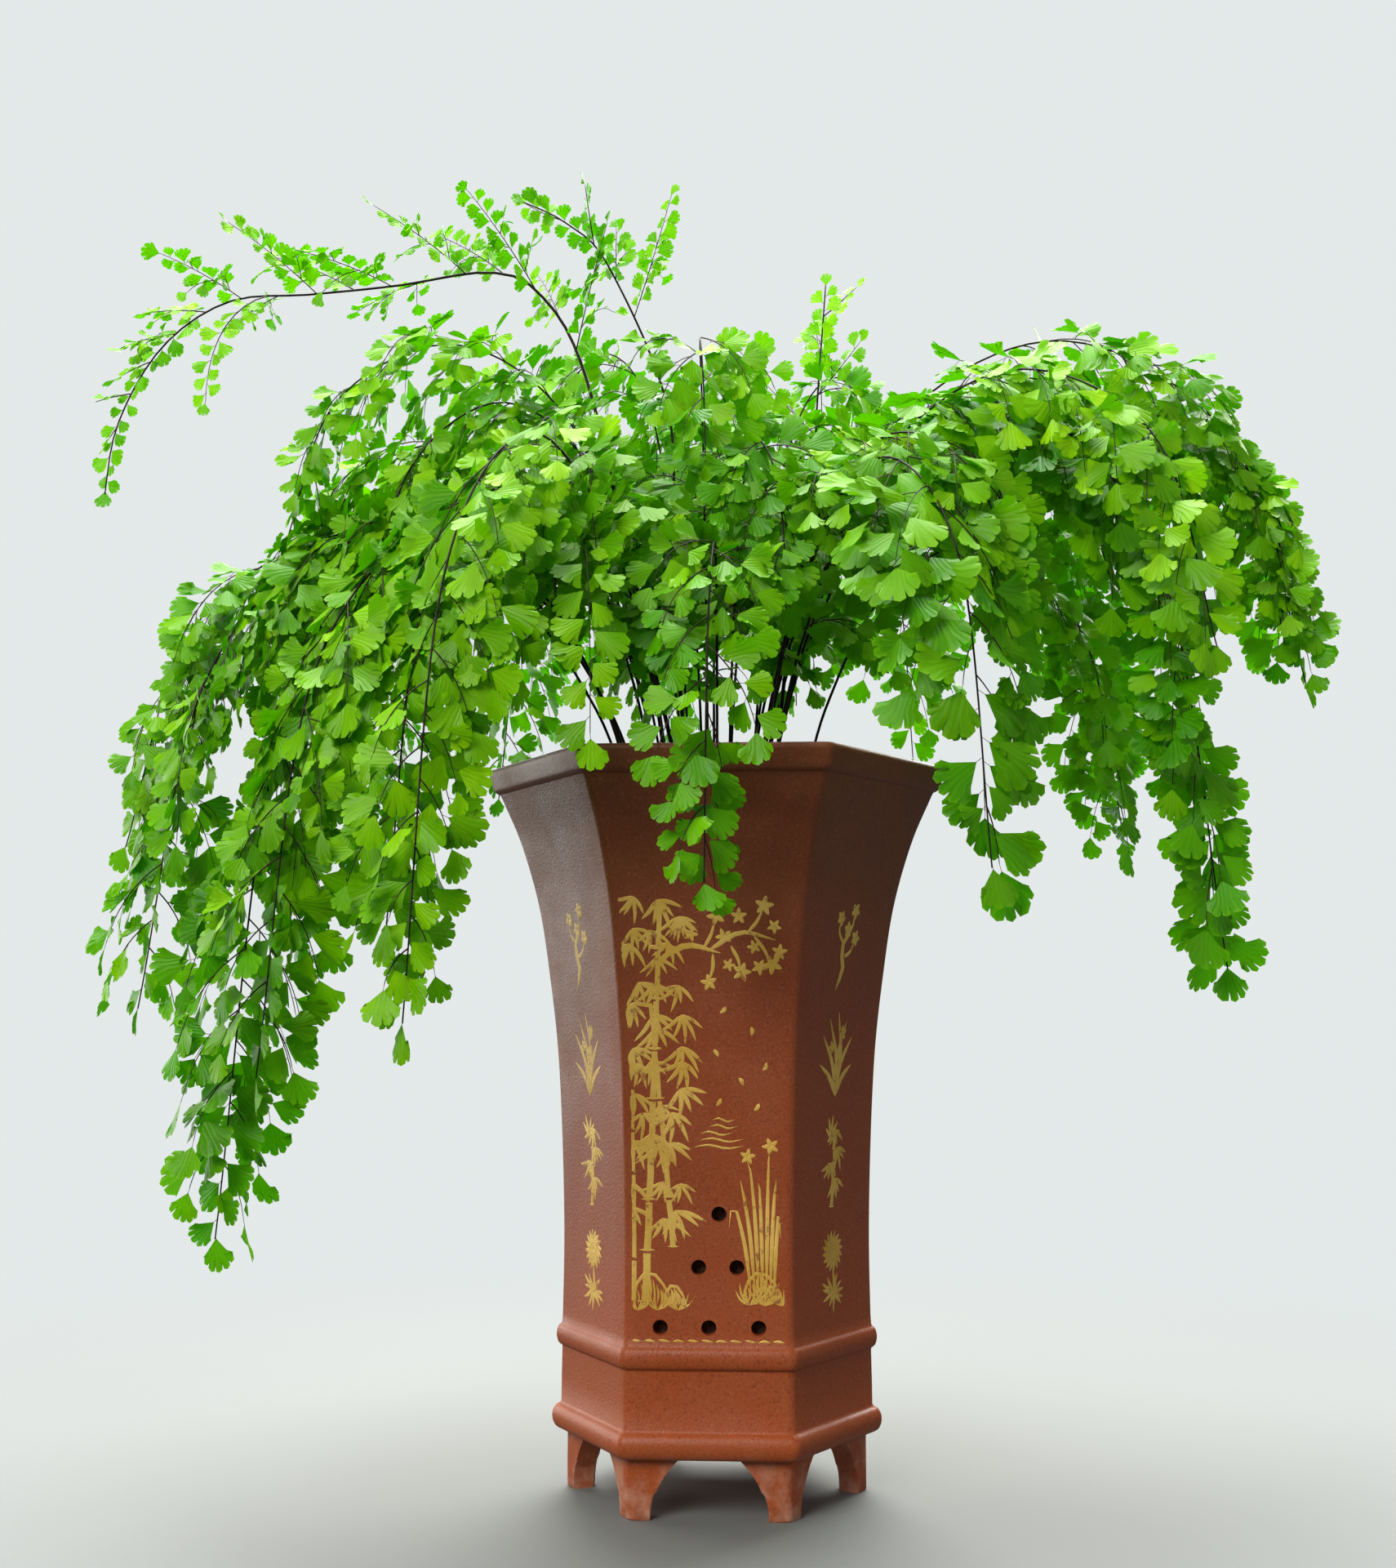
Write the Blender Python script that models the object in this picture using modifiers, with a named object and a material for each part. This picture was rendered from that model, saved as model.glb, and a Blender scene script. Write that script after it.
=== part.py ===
# Potted maidenhair fern: a tall six-sided clay planter on bracket feet, its soil, and the fern's
# fronds. Metres, +Z up, origin on the ground under the planter's axis, picture face towards -Y.
import math
import random

import bpy
import bmesh
import numpy as np
from mathutils import Vector
from mathutils.bvhtree import BVHTree

OBJECT_NAME = "potted_maidenhair_fern"
SEED = 11
GAP = 0.0003

# Planter: (corner radius, height) down the outside, from the rim to the bracket feet
SIDES = 6
RIM = ((0.0925, 0.3000), (0.0978, 0.3000), (0.0992, 0.2985), (0.0967, 0.2905), (0.0940, 0.2890))
FLARE = ((0.0930, 0.2865), (0.0845, 0.2670), (0.0766, 0.2400), (0.0717, 0.2100), (0.0681, 0.1800),
         (0.0660, 0.1450), (0.0648, 0.1050), (0.0653, 0.0670))
UPPER_BEAD = ((0.0671, 0.0648), (0.0676, 0.0617), (0.0671, 0.0586), (0.0655, 0.0566))
LOWER_BEAD = ((0.0655, 0.0338), (0.0682, 0.0322), (0.0691, 0.0285), (0.0682, 0.0248), (0.0664, 0.0235))
FOOT_RADIUS = 0.0627
FOOT_WALL = 0.0090
FOOT_HEIGHT = 0.0235
RIM_INNER = (0.0903, 0.2990)
WALL = 0.0060
FLOOR_TOP = 0.0330
CORNER_ROUND = 0.0035
SKIN_DEPTH = 0.0030
SAME_TURN = 0.001
SHORTEST_EDGE = 0.0001
WALL_HEIGHTS = (0.1050, 0.1800, 0.2100, 0.2400, 0.2670)

# Arch between the feet: half its width at the ground and at its crown
ARCH_WIDE = 0.0230
ARCH_NARROW = 0.0123
ARCH_HEIGHT = 0.0228
ARCH_BEND = 2.2
ARCH_STEPS = 6
ARCH_BELOW = 0.002
ARCH_DEPTH = 1.2 * FOOT_RADIUS

# Drain holes in every other face: (across, height) of each, and the rod that cuts one
DRAIN_RADIUS = 0.0030
DRAIN_SIDES = 8
DRAIN_ROD = 0.0160
DRAIN_DEPTH = 0.0020
DRAIN_HOLES = ((0.0040, 0.1170), (-0.0040, 0.0965), (0.0110, 0.0965),
               (-0.0190, 0.0735), (0.0000, 0.0735), (0.0195, 0.0735))
DRAIN_FACES = (270, 30, 150)

# Soil and the plain holes that the stalks stand in
SOIL_TOP = 0.2770
ROOT_DEPTH = 0.0120
STALK_BASE = 0.00125
STALK_END = 0.00110
HOLE_RADIUS = 0.0018
HOLE_SIDES = 6

# Crown: the ring of ground that the stalks rise from, the highest arches nearest its middle,
# and the room that each stalk keeps
CROWN_IN = 0.008
CROWN_OUT = 0.040
HIGH_ARCH = 0.500
LOW_ARCH = 0.380
ROOT_SCATTER = 0.2
GOLDEN = 0.6180339887
ROOT_SPACING = 0.0055
ROOT_ROUNDS = 200
ROOT_FADE = 3
RUN_SAMPLES = 24
NEAR_SAMPLES = 160
STALK_CLEARANCE = 0.0034
MAX_NUDGE = 12
PATH_SAMPLES = 120
STALK_START = 0.0020
STALK_SEGMENTS = 8
STALK_TWISTS = range(0, 90, 3)
SLIVERS = (0.0, 0.00002, 0.00004)
CLEAN_HEIGHT = 0.00002
WELD_DISTANCE = 0.00001
SPLIT_WELD = 0.000002

# Leaflets: fans given as (degrees from the leaflet's axis, share of its size), those at the sides
# from the foot of the rib to its tip
SIDE_FAN = ((34, 0.86), (9, 0.82), (-12, 1.00), (-42, 0.76))
END_FAN = ((-42, 0.78), (-14, 1.00), (6, 0.83), (36, 0.95))
LEAF_ANGLE = 58
LEAF_SPACING = 0.88
LEAF_TILT = 24
LEAF_SIZES = (0.92, 1.06)
LEAF_SEAT = 0.80
LEAF_FOOT = 0.0008
RIB_ROOT = 0.0007
RIB_WIDTH = 0.0010
BLADE = 0.0008
CLEAR = 0.0013

# How a blade faces (outward and up), and the rolls from there that are tried in turn, in degrees
BLADE_OUTWARD = 0.6
BLADE_UPWARD = 0.8
BLADE_ROLLS = (0, 28, -28, 56, -56, 84)
END_BIAS = 20
SPRAY_BIAS = 25

# Arching fronds: azimuth from +X, reach from the axis, top and tip heights, sideways sweep,
# bare share of the stalk, length of the lowest side branch, leaflet size, side sprays
ARCHES = {
    "left_high": (188, 0.184, 0.480, 0.392, -6, 0.42, 0.075, 0.0176, 3),
    "left_shoulder": (172, 0.205, 0.450, 0.332, 6, 0.42, 0.080, 0.0176, 3),
    "left_outer": (180, 0.254, 0.406, 0.262, 4, 0.42, 0.085, 0.0182, 3),
    "left_curtain_a": (190, 0.238, 0.396, 0.193, 5, 0.42, 0.080, 0.0187, 3),
    "left_curtain_b": (203, 0.208, 0.390, 0.106, 4, 0.42, 0.070, 0.0187, 3),
    "left_curtain_c": (211, 0.204, 0.388, 0.168, 6, 0.42, 0.080, 0.0187, 3),
    "left_fore": (224, 0.176, 0.404, 0.220, 6, 0.43, 0.075, 0.0182, 3),
    "left_inner": (196, 0.150, 0.454, 0.345, -6, 0.42, 0.070, 0.0176, 2),
    "left_back_a": (160, 0.205, 0.452, 0.315, 6, 0.42, 0.080, 0.0176, 3),
    "left_back_b": (148, 0.200, 0.438, 0.275, 6, 0.43, 0.078, 0.0176, 2),
    "right_high": (9, 0.224, 0.480, 0.405, 4, 0.38, 0.080, 0.0182, 3),
    "right_outer": (-1, 0.257, 0.488, 0.332, 4, 0.50, 0.082, 0.0187, 3),
    "right_curtain": (-12, 0.212, 0.450, 0.208, -4, 0.43, 0.060, 0.0198, 3),
    "right_fore": (-20, 0.218, 0.458, 0.330, -6, 0.40, 0.080, 0.0193, 3),
    "right_near": (-53, 0.190, 0.408, 0.242, -4, 0.44, 0.050, 0.0204, 3),
    "right_inner": (-10, 0.170, 0.456, 0.375, 5, 0.40, 0.075, 0.0182, 2),
    "right_back_a": (18, 0.262, 0.468, 0.350, -4, 0.40, 0.082, 0.0182, 3),
    "right_back_b": (32, 0.212, 0.450, 0.300, -6, 0.42, 0.080, 0.0176, 2),
    "right_low": (4, 0.182, 0.400, 0.268, 6, 0.50, 0.060, 0.0165, 2),
    "crown_left": (146, 0.090, 0.496, 0.450, 8, 0.50, 0.062, 0.0171, 2),
    "crown_mid": (96, 0.066, 0.492, 0.450, -10, 0.48, 0.062, 0.0171, 2),
    "crown_right": (24, 0.088, 0.482, 0.436, 8, 0.46, 0.055, 0.0171, 2),
    "crown_front": (262, 0.074, 0.474, 0.412, 8, 0.46, 0.060, 0.0176, 2),
    "crown_fore": (286, 0.088, 0.428, 0.352, 6, 0.36, 0.058, 0.0171, 2),
    "front_left": (234, 0.198, 0.420, 0.188, 4, 0.44, 0.052, 0.0182, 3),
    "front_mid": (274, 0.130, 0.378, 0.240, -3, 0.52, 0.036, 0.0171, 2),
    "front_right": (312, 0.165, 0.424, 0.335, 4, 0.43, 0.064, 0.0176, 3),
    "back_right": (56, 0.194, 0.446, 0.322, 5, 0.43, 0.080, 0.0176, 3),
    "back_mid_right": (73, 0.176, 0.470, 0.350, 6, 0.42, 0.076, 0.0176, 2),
    "back_mid_left": (107, 0.172, 0.466, 0.338, -6, 0.42, 0.074, 0.0176, 2),
    "back_left": (123, 0.195, 0.442, 0.300, 5, 0.43, 0.080, 0.0176, 3),
}

# Arch of a frond, as (share of its span, share of its rise), the last two hanging from the top
ARCH_RISE = ((0.09, 0.42), (0.28, 0.84))
ARCH_PEAK = 0.58
ARCH_HANG = (0.88, 0.30)

# Loose fronds that break out of the mass: azimuth, root radius, bare share, side branch, leaflet
# size, side sprays, how far they droop, the share of the path that the stalk carries before its
# end spray, and the (reach, height) points that the path passes through
LOOSE = {
    "loose_long": (187, 0.012, 0.40, 0.040, 0.0095, 5, 0.20, 0.87, (
        (0.036, 0.385), (0.058, 0.476), (0.078, 0.511), (0.100, 0.520), (0.140, 0.513),
        (0.178, 0.508), (0.214, 0.505), (0.244, 0.484), (0.266, 0.448), (0.272, 0.410))),
    "loose_tall": (206, 0.012, 0.72, 0.056, 0.0090, 4, -0.30, 0.90, (
        (0.020, 0.380), (0.022, 0.455), (0.050, 0.517), (0.070, 0.534), (0.092, 0.541))),
    "young": (18, 0.026, 0.60, 0.036, 0.0085, 3, -0.10, 0.84, (
        (0.032, 0.345), (0.045, 0.405), (0.047, 0.460), (0.052, 0.524))),
}

# Side sprays: how they leave the stalk, the turns round it that are tried, how their length
# changes along the frond, and the leaflet pairs on each
SPRAY_START = (0.66, 0.76, 0.10)
SPRAY_TURNS = (0.0, 0.35, -0.35, 0.7)
SPRAY_TAPER = 0.85
SPRAY_LOW = 0.85
SPRAY_SWELL = 0.5
SPRAY_STEPS = 24
UPRIGHT = 0.2
UPRIGHT_LEAN = 0.1
SPRAY_DROOP = 0.75
SPRAY_BEND = 0.8
SPRAY_TIP = 0.012
SPRAY_PAIRS = 1
END_PAIRS = 2
END_SHARE = 0.74
END_SUNK = 0.0025
END_SKIP = 2
END_STRIDE = 6
SPRAY_MARGIN = (0.04, 0.03)

# Finishes: colour and roughness
CLAY = ((0.235, 0.062, 0.020), 0.42)
SOIL = ((0.055, 0.030, 0.016), 0.90)
STALK = ((0.018, 0.010, 0.008), 0.35)
LEAF = ((0.140, 0.380, 0.022), 0.55)
SHARP_ANGLE = 35


def clear_scene():
    for old in list(bpy.data.objects):
        bpy.data.objects.remove(old, do_unlink=True)


def make_collection(name):
    collection = bpy.data.collections.new(name)
    bpy.context.scene.collection.children.link(collection)
    return collection


def make_material(name, colour, roughness):
    material = bpy.data.materials.new(name)
    material.use_nodes = True
    shader = material.node_tree.nodes["Principled BSDF"]
    shader.inputs["Base Color"].default_value = (*colour, 1.0)
    shader.inputs["Roughness"].default_value = roughness
    shader.inputs["Metallic"].default_value = 0.0
    return material


def add_object(name, mesh, collection):
    thing = bpy.data.objects.new(name, mesh)
    collection.objects.link(thing)
    return thing


def evaluated_mesh(thing):
    """The object's mesh with its modifiers applied."""
    bpy.context.view_layer.update()
    graph = bpy.context.evaluated_depsgraph_get()
    return bpy.data.meshes.new_from_object(thing.evaluated_get(graph), depsgraph=graph)


def apply_modifiers(thing):
    mesh = evaluated_mesh(thing)
    thing.modifiers.clear()
    thing.data = mesh


def turned(name, profile, collection):
    """A six-sided body turned from a profile of (corner radius, height) that ends on the axis."""
    mesh = bpy.data.meshes.new(name)
    points = [(radius, 0.0, height) for radius, height in profile]
    edges = [(i, i + 1) for i in range(len(points) - 1)]
    mesh.from_pydata(points, edges, [])
    body = add_object(name, mesh, collection)
    screw = body.modifiers.new("turn", "SCREW")
    screw.steps = SIDES
    screw.render_steps = SIDES
    screw.use_merge_vertices = True
    screw.merge_threshold = WELD_DISTANCE
    screw.use_smooth_shade = False
    apply_modifiers(body)
    return body


def inner_profile(inset):
    """(corner radius, height) up the inside of the wall, set in by inset from its surface."""
    across = (WALL + inset) / math.cos(math.pi / SIDES)
    outer = sorted(FLARE, key=lambda point: point[1])
    inside = []
    for height in (FLOOR_TOP + inset, *WALL_HEIGHTS):
        radius = np.interp(height, [p[1] for p in outer], [p[0] for p in outer])
        inside.append((float(radius) - across, height))
    return inside


def round_corners(body):
    """Rounds the planter's upright outer corners, from the rim down to the feet."""
    shape = bmesh.new()
    shape.from_mesh(body.data)
    inner_foot = FOOT_RADIUS - FOOT_WALL / math.cos(math.pi / SIDES) / 2

    def outside(corner):
        radius = math.hypot(corner.x, corner.y)
        if corner.z < FOOT_HEIGHT - GAP:
            return radius > inner_foot
        outer = sorted(FLARE, key=lambda point: point[1])
        skin = np.interp(corner.z, [p[1] for p in outer], [p[0] for p in outer])
        return radius > skin - SKIN_DEPTH

    def upright(edge):
        a, b = (corner.co for corner in edge.verts)
        turn = abs(math.atan2(a.y, a.x) - math.atan2(b.y, b.x))
        return outside(a) and outside(b) and turn < SAME_TURN and (a - b).length > SHORTEST_EDGE

    edges = [edge for edge in shape.edges if upright(edge)]
    bmesh.ops.bevel(shape, geom=edges, offset=CORNER_ROUND, offset_type="OFFSET", segments=1,
                    affect="EDGES", clamp_overlap=True)
    shape.to_mesh(body.data)
    shape.free()


def foot_arch(name, turn, collection):
    """A prism that cuts the arch between the feet through two opposite faces."""
    rise = [ARCH_HEIGHT * step / ARCH_STEPS for step in range(ARCH_STEPS + 1)]
    half = [ARCH_NARROW + (ARCH_WIDE - ARCH_NARROW) * (1 - (z / ARCH_HEIGHT) ** ARCH_BEND) for z in rise]
    outline = [(ARCH_WIDE, -ARCH_BELOW), *zip(half, rise)]
    outline = outline + [(-across, z) for across, z in reversed(outline)]
    flat = bpy.data.curves.new(name, "CURVE")
    flat.dimensions = "2D"
    flat.fill_mode = "BOTH"
    flat.extrude = ARCH_DEPTH
    spline = flat.splines.new("POLY")
    spline.points.add(len(outline) - 1)
    for point, (across, z) in zip(spline.points, outline):
        point.co = (across, z, 0.0, 1.0)
    spline.use_cyclic_u = True
    drawn = add_object(name, flat, collection)
    drawn.rotation_euler = (math.pi / 2, 0.0, math.radians(turn))
    mesh = evaluated_mesh(drawn)
    cutter = add_object(name, mesh, collection)
    cutter.matrix_world = drawn.matrix_world.copy()
    bpy.data.objects.remove(drawn, do_unlink=True)
    weld(mesh)
    return cutter


def weld(mesh):
    shape = bmesh.new()
    shape.from_mesh(mesh)
    bmesh.ops.remove_doubles(shape, verts=shape.verts, dist=WELD_DISTANCE)
    shape.to_mesh(mesh)
    shape.free()


def drain_cutter(name, face, across, height, collection):
    """A rod through one wall, square to the face whose normal points at the face angle."""
    normal = Vector((math.cos(math.radians(face)), math.sin(math.radians(face)), 0.0))
    side = Vector((-normal.y, normal.x, 0.0))
    skin = FLARE[-2][0] * math.cos(math.pi / SIDES)
    bpy.ops.mesh.primitive_cylinder_add(vertices=DRAIN_SIDES, radius=DRAIN_RADIUS, depth=DRAIN_ROD)
    rod = bpy.context.object
    rod.name = name
    rod.location = normal * (skin - DRAIN_DEPTH) + side * across + Vector((0.0, 0.0, height))
    rod.rotation_euler = normal.to_track_quat("Z", "Y").to_euler()
    move_to(rod, collection)
    return rod


def move_to(thing, collection):
    for held in list(thing.users_collection):
        held.objects.unlink(thing)
    collection.objects.link(thing)


def cut(body, cutters):
    """Cuts a collection of closed shapes out of the body and applies it."""
    for cutter in cutters.objects:
        cutter.display_type = "WIRE"
        cutter.hide_render = True
    tool = body.modifiers.new("cut", "BOOLEAN")
    tool.operation = "DIFFERENCE"
    tool.operand_type = "COLLECTION"
    tool.collection = cutters
    tool.solver = "EXACT"
    apply_modifiers(body)


def make_planter(parts, cutters):
    inside = inner_profile(0.0)
    foot_inner = FOOT_RADIUS - FOOT_WALL / math.cos(math.pi / SIDES)
    foot = ((FOOT_RADIUS, FOOT_HEIGHT), (FOOT_RADIUS, 0.0), (foot_inner, 0.0), (foot_inner, FOOT_HEIGHT))
    profile = [(0.0, FLOOR_TOP), *inside, RIM_INNER, *RIM, *FLARE, *UPPER_BEAD, *LOWER_BEAD, *foot,
               (0.0, FOOT_HEIGHT)]
    planter = turned("planter", profile, parts)
    round_corners(planter)
    for turn in range(0, 180, 60):
        foot_arch(f"foot_arch_{turn}", turn, cutters)
    for face in DRAIN_FACES:
        for number, (across, height) in enumerate(DRAIN_HOLES):
            drain_cutter(f"drain_{face}_{number}", face, across, height, cutters)
    cut(planter, cutters)
    planter.data.materials.append(make_material("fired_clay", *CLAY))
    return planter


def make_soil(stalks, parts, cutters):
    """The potting bark that fills the planter, with a plain hole for each stalk."""
    side = inner_profile(GAP)
    top = np.interp(SOIL_TOP, (side[-1][1], RIM_INNER[1]),
                    (side[-1][0], RIM_INNER[0] - GAP / math.cos(math.pi / SIDES)))
    profile = [(0.0, SOIL_TOP), (float(top), SOIL_TOP), *reversed(side), (0.0, side[0][1])]
    soil = turned("soil", profile, parts)
    depth = ROOT_DEPTH + GAP
    for number, stalk in enumerate(stalks):
        bpy.ops.mesh.primitive_cylinder_add(vertices=HOLE_SIDES, radius=HOLE_RADIUS, depth=2 * depth)
        hole = bpy.context.object
        hole.name = f"stalk_hole_{number}"
        hole.location = (stalk["wire"][0][0], stalk["wire"][0][1], SOIL_TOP)
        move_to(hole, cutters)
    cut(soil, cutters)
    soil.data.materials.append(make_material("potting_bark", *SOIL))
    return soil


def unit(vector):
    return vector / np.linalg.norm(vector)


def smooth_path(points, count):
    """Points evenly spaced along a Catmull-Rom curve through the given ones."""
    held = np.asarray(points, float)
    held = np.vstack([2 * held[0] - held[1], held, 2 * held[-1] - held[-2]])
    t = np.linspace(0, 1, RUN_SAMPLES, endpoint=False)[:, None]
    runs = []
    for a, b, c, d in zip(held, held[1:], held[2:], held[3:]):
        bend = (2 * a - 5 * b + 4 * c - d) * t ** 2 + (3 * b - a - 3 * c + d) * t ** 3
        runs.append(0.5 * (2 * b + (c - a) * t + bend))
    dense = np.vstack(runs + [held[-2:-1]])
    length = np.concatenate([[0], np.cumsum(np.linalg.norm(np.diff(dense, axis=0), axis=1))])
    at = np.linspace(0, length[-1], count)
    return np.column_stack([np.interp(at, length, dense[:, axis]) for axis in range(dense.shape[1])])


def path_point(path, share):
    """Point and direction at a share of the path's length."""
    at = np.clip(share, 0.0, 1.0) * (len(path) - 1)
    low = min(int(at), len(path) - 2)
    point = path[low] + (path[low + 1] - path[low]) * (at - low)
    return point, unit(path[min(low + 2, len(path) - 1)] - path[max(low - 1, 0)])


def root_radius(index, peak):
    low = np.clip((HIGH_ARCH - peak) / (HIGH_ARCH - LOW_ARCH), 0.0, 1.0)
    place = low * (1 - ROOT_SCATTER) + ROOT_SCATTER * ((index * GOLDEN) % 1.0)
    return CROWN_IN + (CROWN_OUT - CROWN_IN) * place


def spread_roots(azimuths, radii):
    """Places where the stalks leave the soil, pushed apart until each has room."""
    turns = np.radians(azimuths)
    radii = np.array(radii)
    roots = np.column_stack([radii * np.cos(turns), radii * np.sin(turns)])
    for _ in range(ROOT_ROUNDS):
        for i in range(len(roots)):
            for j in range(i):
                apart = roots[i] - roots[j]
                distance = max(np.linalg.norm(apart), 0.00001)
                if distance < ROOT_SPACING:
                    push = apart / distance * (ROOT_SPACING - distance) * 0.5
                    roots[i] += push
                    roots[j] -= push
    return roots


def arch_points(root, reach, peak, tip):
    rise = peak - SOIL_TOP
    span = reach - root
    points = [(root + along * span, SOIL_TOP + up * rise) for along, up in ARCH_RISE]
    points.append((root + ARCH_PEAK * span, peak))
    points.append((root + ARCH_HANG[0] * span, peak - ARCH_HANG[1] * (peak - tip)))
    points.append((reach, tip))
    return points


def stalk_path(root, nominal, azimuth, sweep, points):
    """A stalk's path above the soil: the profile turned to its azimuth and swept sideways."""
    profile = smooth_path([(nominal, SOIL_TOP + STALK_START), *points], PATH_SAMPLES)
    reach = points[-1][0]
    turn = np.radians(azimuth + sweep * (profile[:, 0] / reach) ** 2)
    path = np.column_stack([profile[:, 0] * np.cos(turn), profile[:, 0] * np.sin(turn), profile[:, 1]])
    fade = (1 - np.linspace(0, 1, PATH_SAMPLES)) ** ROOT_FADE
    path[:, :2] += np.outer(fade, root - path[0, :2])
    return path


def plan_stalks():
    """Every frond's stalk, each turned a little where it would touch an earlier one."""
    rows = []
    for name, (azimuth, radius, bare, branch, leaf, sprays, droop, end, points) in LOOSE.items():
        growth = {"name": name, "bare": bare, "branch": branch, "leaf": leaf, "sprays": sprays,
                  "droop": droop, "end": end}
        rows.append((growth, azimuth, 0.0, radius, list(points)))
    for name, (azimuth, reach, peak, tip, sweep, bare, branch, leaf, sprays) in ARCHES.items():
        radius = root_radius(len(rows), peak)
        growth = {"name": name, "bare": bare, "branch": branch, "leaf": leaf, "sprays": sprays,
                  "droop": SPRAY_DROOP, "end": END_SHARE}
        rows.append((growth, azimuth, sweep, radius, arch_points(radius, reach, peak, tip)))
    roots = spread_roots([row[1] for row in rows], [row[3] for row in rows])
    stalks = []
    for root, (growth, azimuth, sweep, radius, points) in zip(roots, rows):
        widest = -1.0
        for nudge in sorted(range(-MAX_NUDGE, MAX_NUDGE + 1), key=abs):
            path = stalk_path(root, radius, azimuth + nudge, sweep, points)
            wire = straight_runs(path, growth["end"])
            room = min((nearest(wire, other["wire"]) for other in stalks), default=1.0)
            if room > widest:
                widest = room
                chosen = (path, wire)
            if widest > STALK_CLEARANCE:
                break
        stalks.append({**growth, "path": chosen[0], "wire": chosen[1]})
    return stalks


def straight_runs(path, end):
    """The corners of the stalk as it is built: its foot in the soil, then points along the path."""
    foot = np.array([path[0][0], path[0][1], SOIL_TOP - ROOT_DEPTH])
    shares = np.linspace(0, end, STALK_SEGMENTS + 1)
    return np.array([foot] + [path_point(path, share)[0] for share in shares])


def nearest(wire, other):
    """Least distance between two stalks, from points close together along their straight runs."""
    places = np.linspace(0, len(wire) - 1, NEAR_SAMPLES)
    runs = [np.column_stack([np.interp(places, range(len(line)), line[:, axis]) for axis in range(3)])
            for line in (wire, other)]
    return np.linalg.norm(runs[0][:, None, :] - runs[1][None, :, :], axis=2).min()


def make_stalk(stalk, twist, collection):
    """The stalk as a square wire that thins towards the leaves, from its foot in the soil."""
    points = stalk["wire"]
    wire = bpy.data.curves.new(stalk["name"], "CURVE")
    wire.dimensions = "3D"
    wire.bevel_depth = 1.0
    wire.bevel_resolution = 0
    wire.use_fill_caps = True
    spline = wire.splines.new("POLY")
    spline.points.add(len(points) - 1)
    for number, (held, point) in enumerate(zip(spline.points, points)):
        held.co = (*point, 1.0)
        held.radius = STALK_BASE + (STALK_END - STALK_BASE) * number / (len(points) - 1)
        held.tilt = math.radians(twist)
    drawn = add_object(stalk["name"], wire, collection)
    mesh = evaluated_mesh(drawn)
    bpy.data.objects.remove(drawn, do_unlink=True)
    weld(mesh)
    return add_object(stalk["name"], mesh, collection)


def wire_point(stalk, share):
    """Point on the middle of the stalk's straight runs at a share of the whole path."""
    at = share / stalk["end"] * STALK_SEGMENTS
    low = min(int(at), STALK_SEGMENTS - 1)
    return stalk["wire"][1 + low] + (stalk["wire"][2 + low] - stalk["wire"][1 + low]) * (at - low)


def spray_path(stalk, share, side_sign, turn):
    """A side branch that leaves the stalk sideways and droops, longest low on the frond."""
    along = (share - stalk["bare"]) / (1 - stalk["bare"])
    start = wire_point(stalk, share)
    forward = path_point(stalk["path"], share)[1]
    side = np.cross(forward, (0.0, 0.0, 1.0))
    if np.linalg.norm(side) < UPRIGHT:
        lean = (0.0, UPRIGHT_LEAN, 0.0) if forward[2] > 0 else (UPRIGHT_LEAN, 0.0, 0.0)
        side = np.cross(forward, forward * (1.0, 1.0, 0.0) + lean)
    side = unit(side) * side_sign
    up = np.cross(side, forward) * side_sign
    side = side * math.cos(turn) + up * math.sin(turn)
    outward, sideways, upward = SPRAY_START
    first = unit(forward * outward + side * sideways + np.array([0.0, 0.0, upward]))
    length = stalk["branch"] * (1 - along) ** SPRAY_TAPER * (SPRAY_LOW + SPRAY_SWELL * along) + SPRAY_TIP
    droop = stalk["droop"] * ((np.arange(SPRAY_STEPS) + 0.5) / SPRAY_STEPS) ** SPRAY_BEND
    heading = first * (1 - droop[:, None]) + np.outer(droop, (0.0, 0.0, -1.0))
    heading /= np.linalg.norm(heading, axis=1)[:, None]
    path = start + np.vstack([np.zeros(3), np.cumsum(heading * length / SPRAY_STEPS, axis=0)])
    return path, length


def blade_frame(path, share, roll):
    """Point on the rib, its direction, the direction across the blade and the blade's normal."""
    point, forward = path_point(path, share)
    outward = unit(np.array([point[0], point[1], 0.0]) + 0.00001)
    across = unit(np.cross(forward, outward * BLADE_OUTWARD + np.array([0.0, 0.0, BLADE_UPWARD])))
    normal = np.cross(across, forward)
    turned_across = across * math.cos(roll) + normal * math.sin(roll)
    return point, forward, turned_across, np.cross(turned_across, forward)


def fan(base, axis_along, axis_across, lean, outline, size):
    """Outer points of a fan leaflet: each at its own angle from the lean of the leaflet's axis."""
    points = []
    for angle, share in outline:
        turn = math.radians(lean + angle)
        points.append(base + size * share * (axis_along * math.cos(turn) + axis_across * math.sin(turn)))
    return points


def inflated(polygon, grow):
    """A closed slab round a leaflet or a stretch of rib, larger than it by grow on every side."""
    ring = np.asarray(polygon)
    centre = ring.mean(axis=0)
    arm = ring - centre
    normal = unit(np.cross(arm, np.roll(arm, -1, axis=0)).sum(axis=0))
    ring = centre + arm * (1 + grow / np.linalg.norm(arm, axis=1))[:, None]
    count = len(ring)
    points = np.vstack([ring + normal * grow, ring - normal * grow, centre + normal * grow,
                        centre - normal * grow])
    faces = []
    for i in range(count):
        j = (i + 1) % count
        faces += [(2 * count, i, j), (2 * count + 1, count + j, count + i), (i, count + i, count + j, j)]
    return BVHTree.FromPolygons([tuple(point) for point in points], faces)


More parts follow.
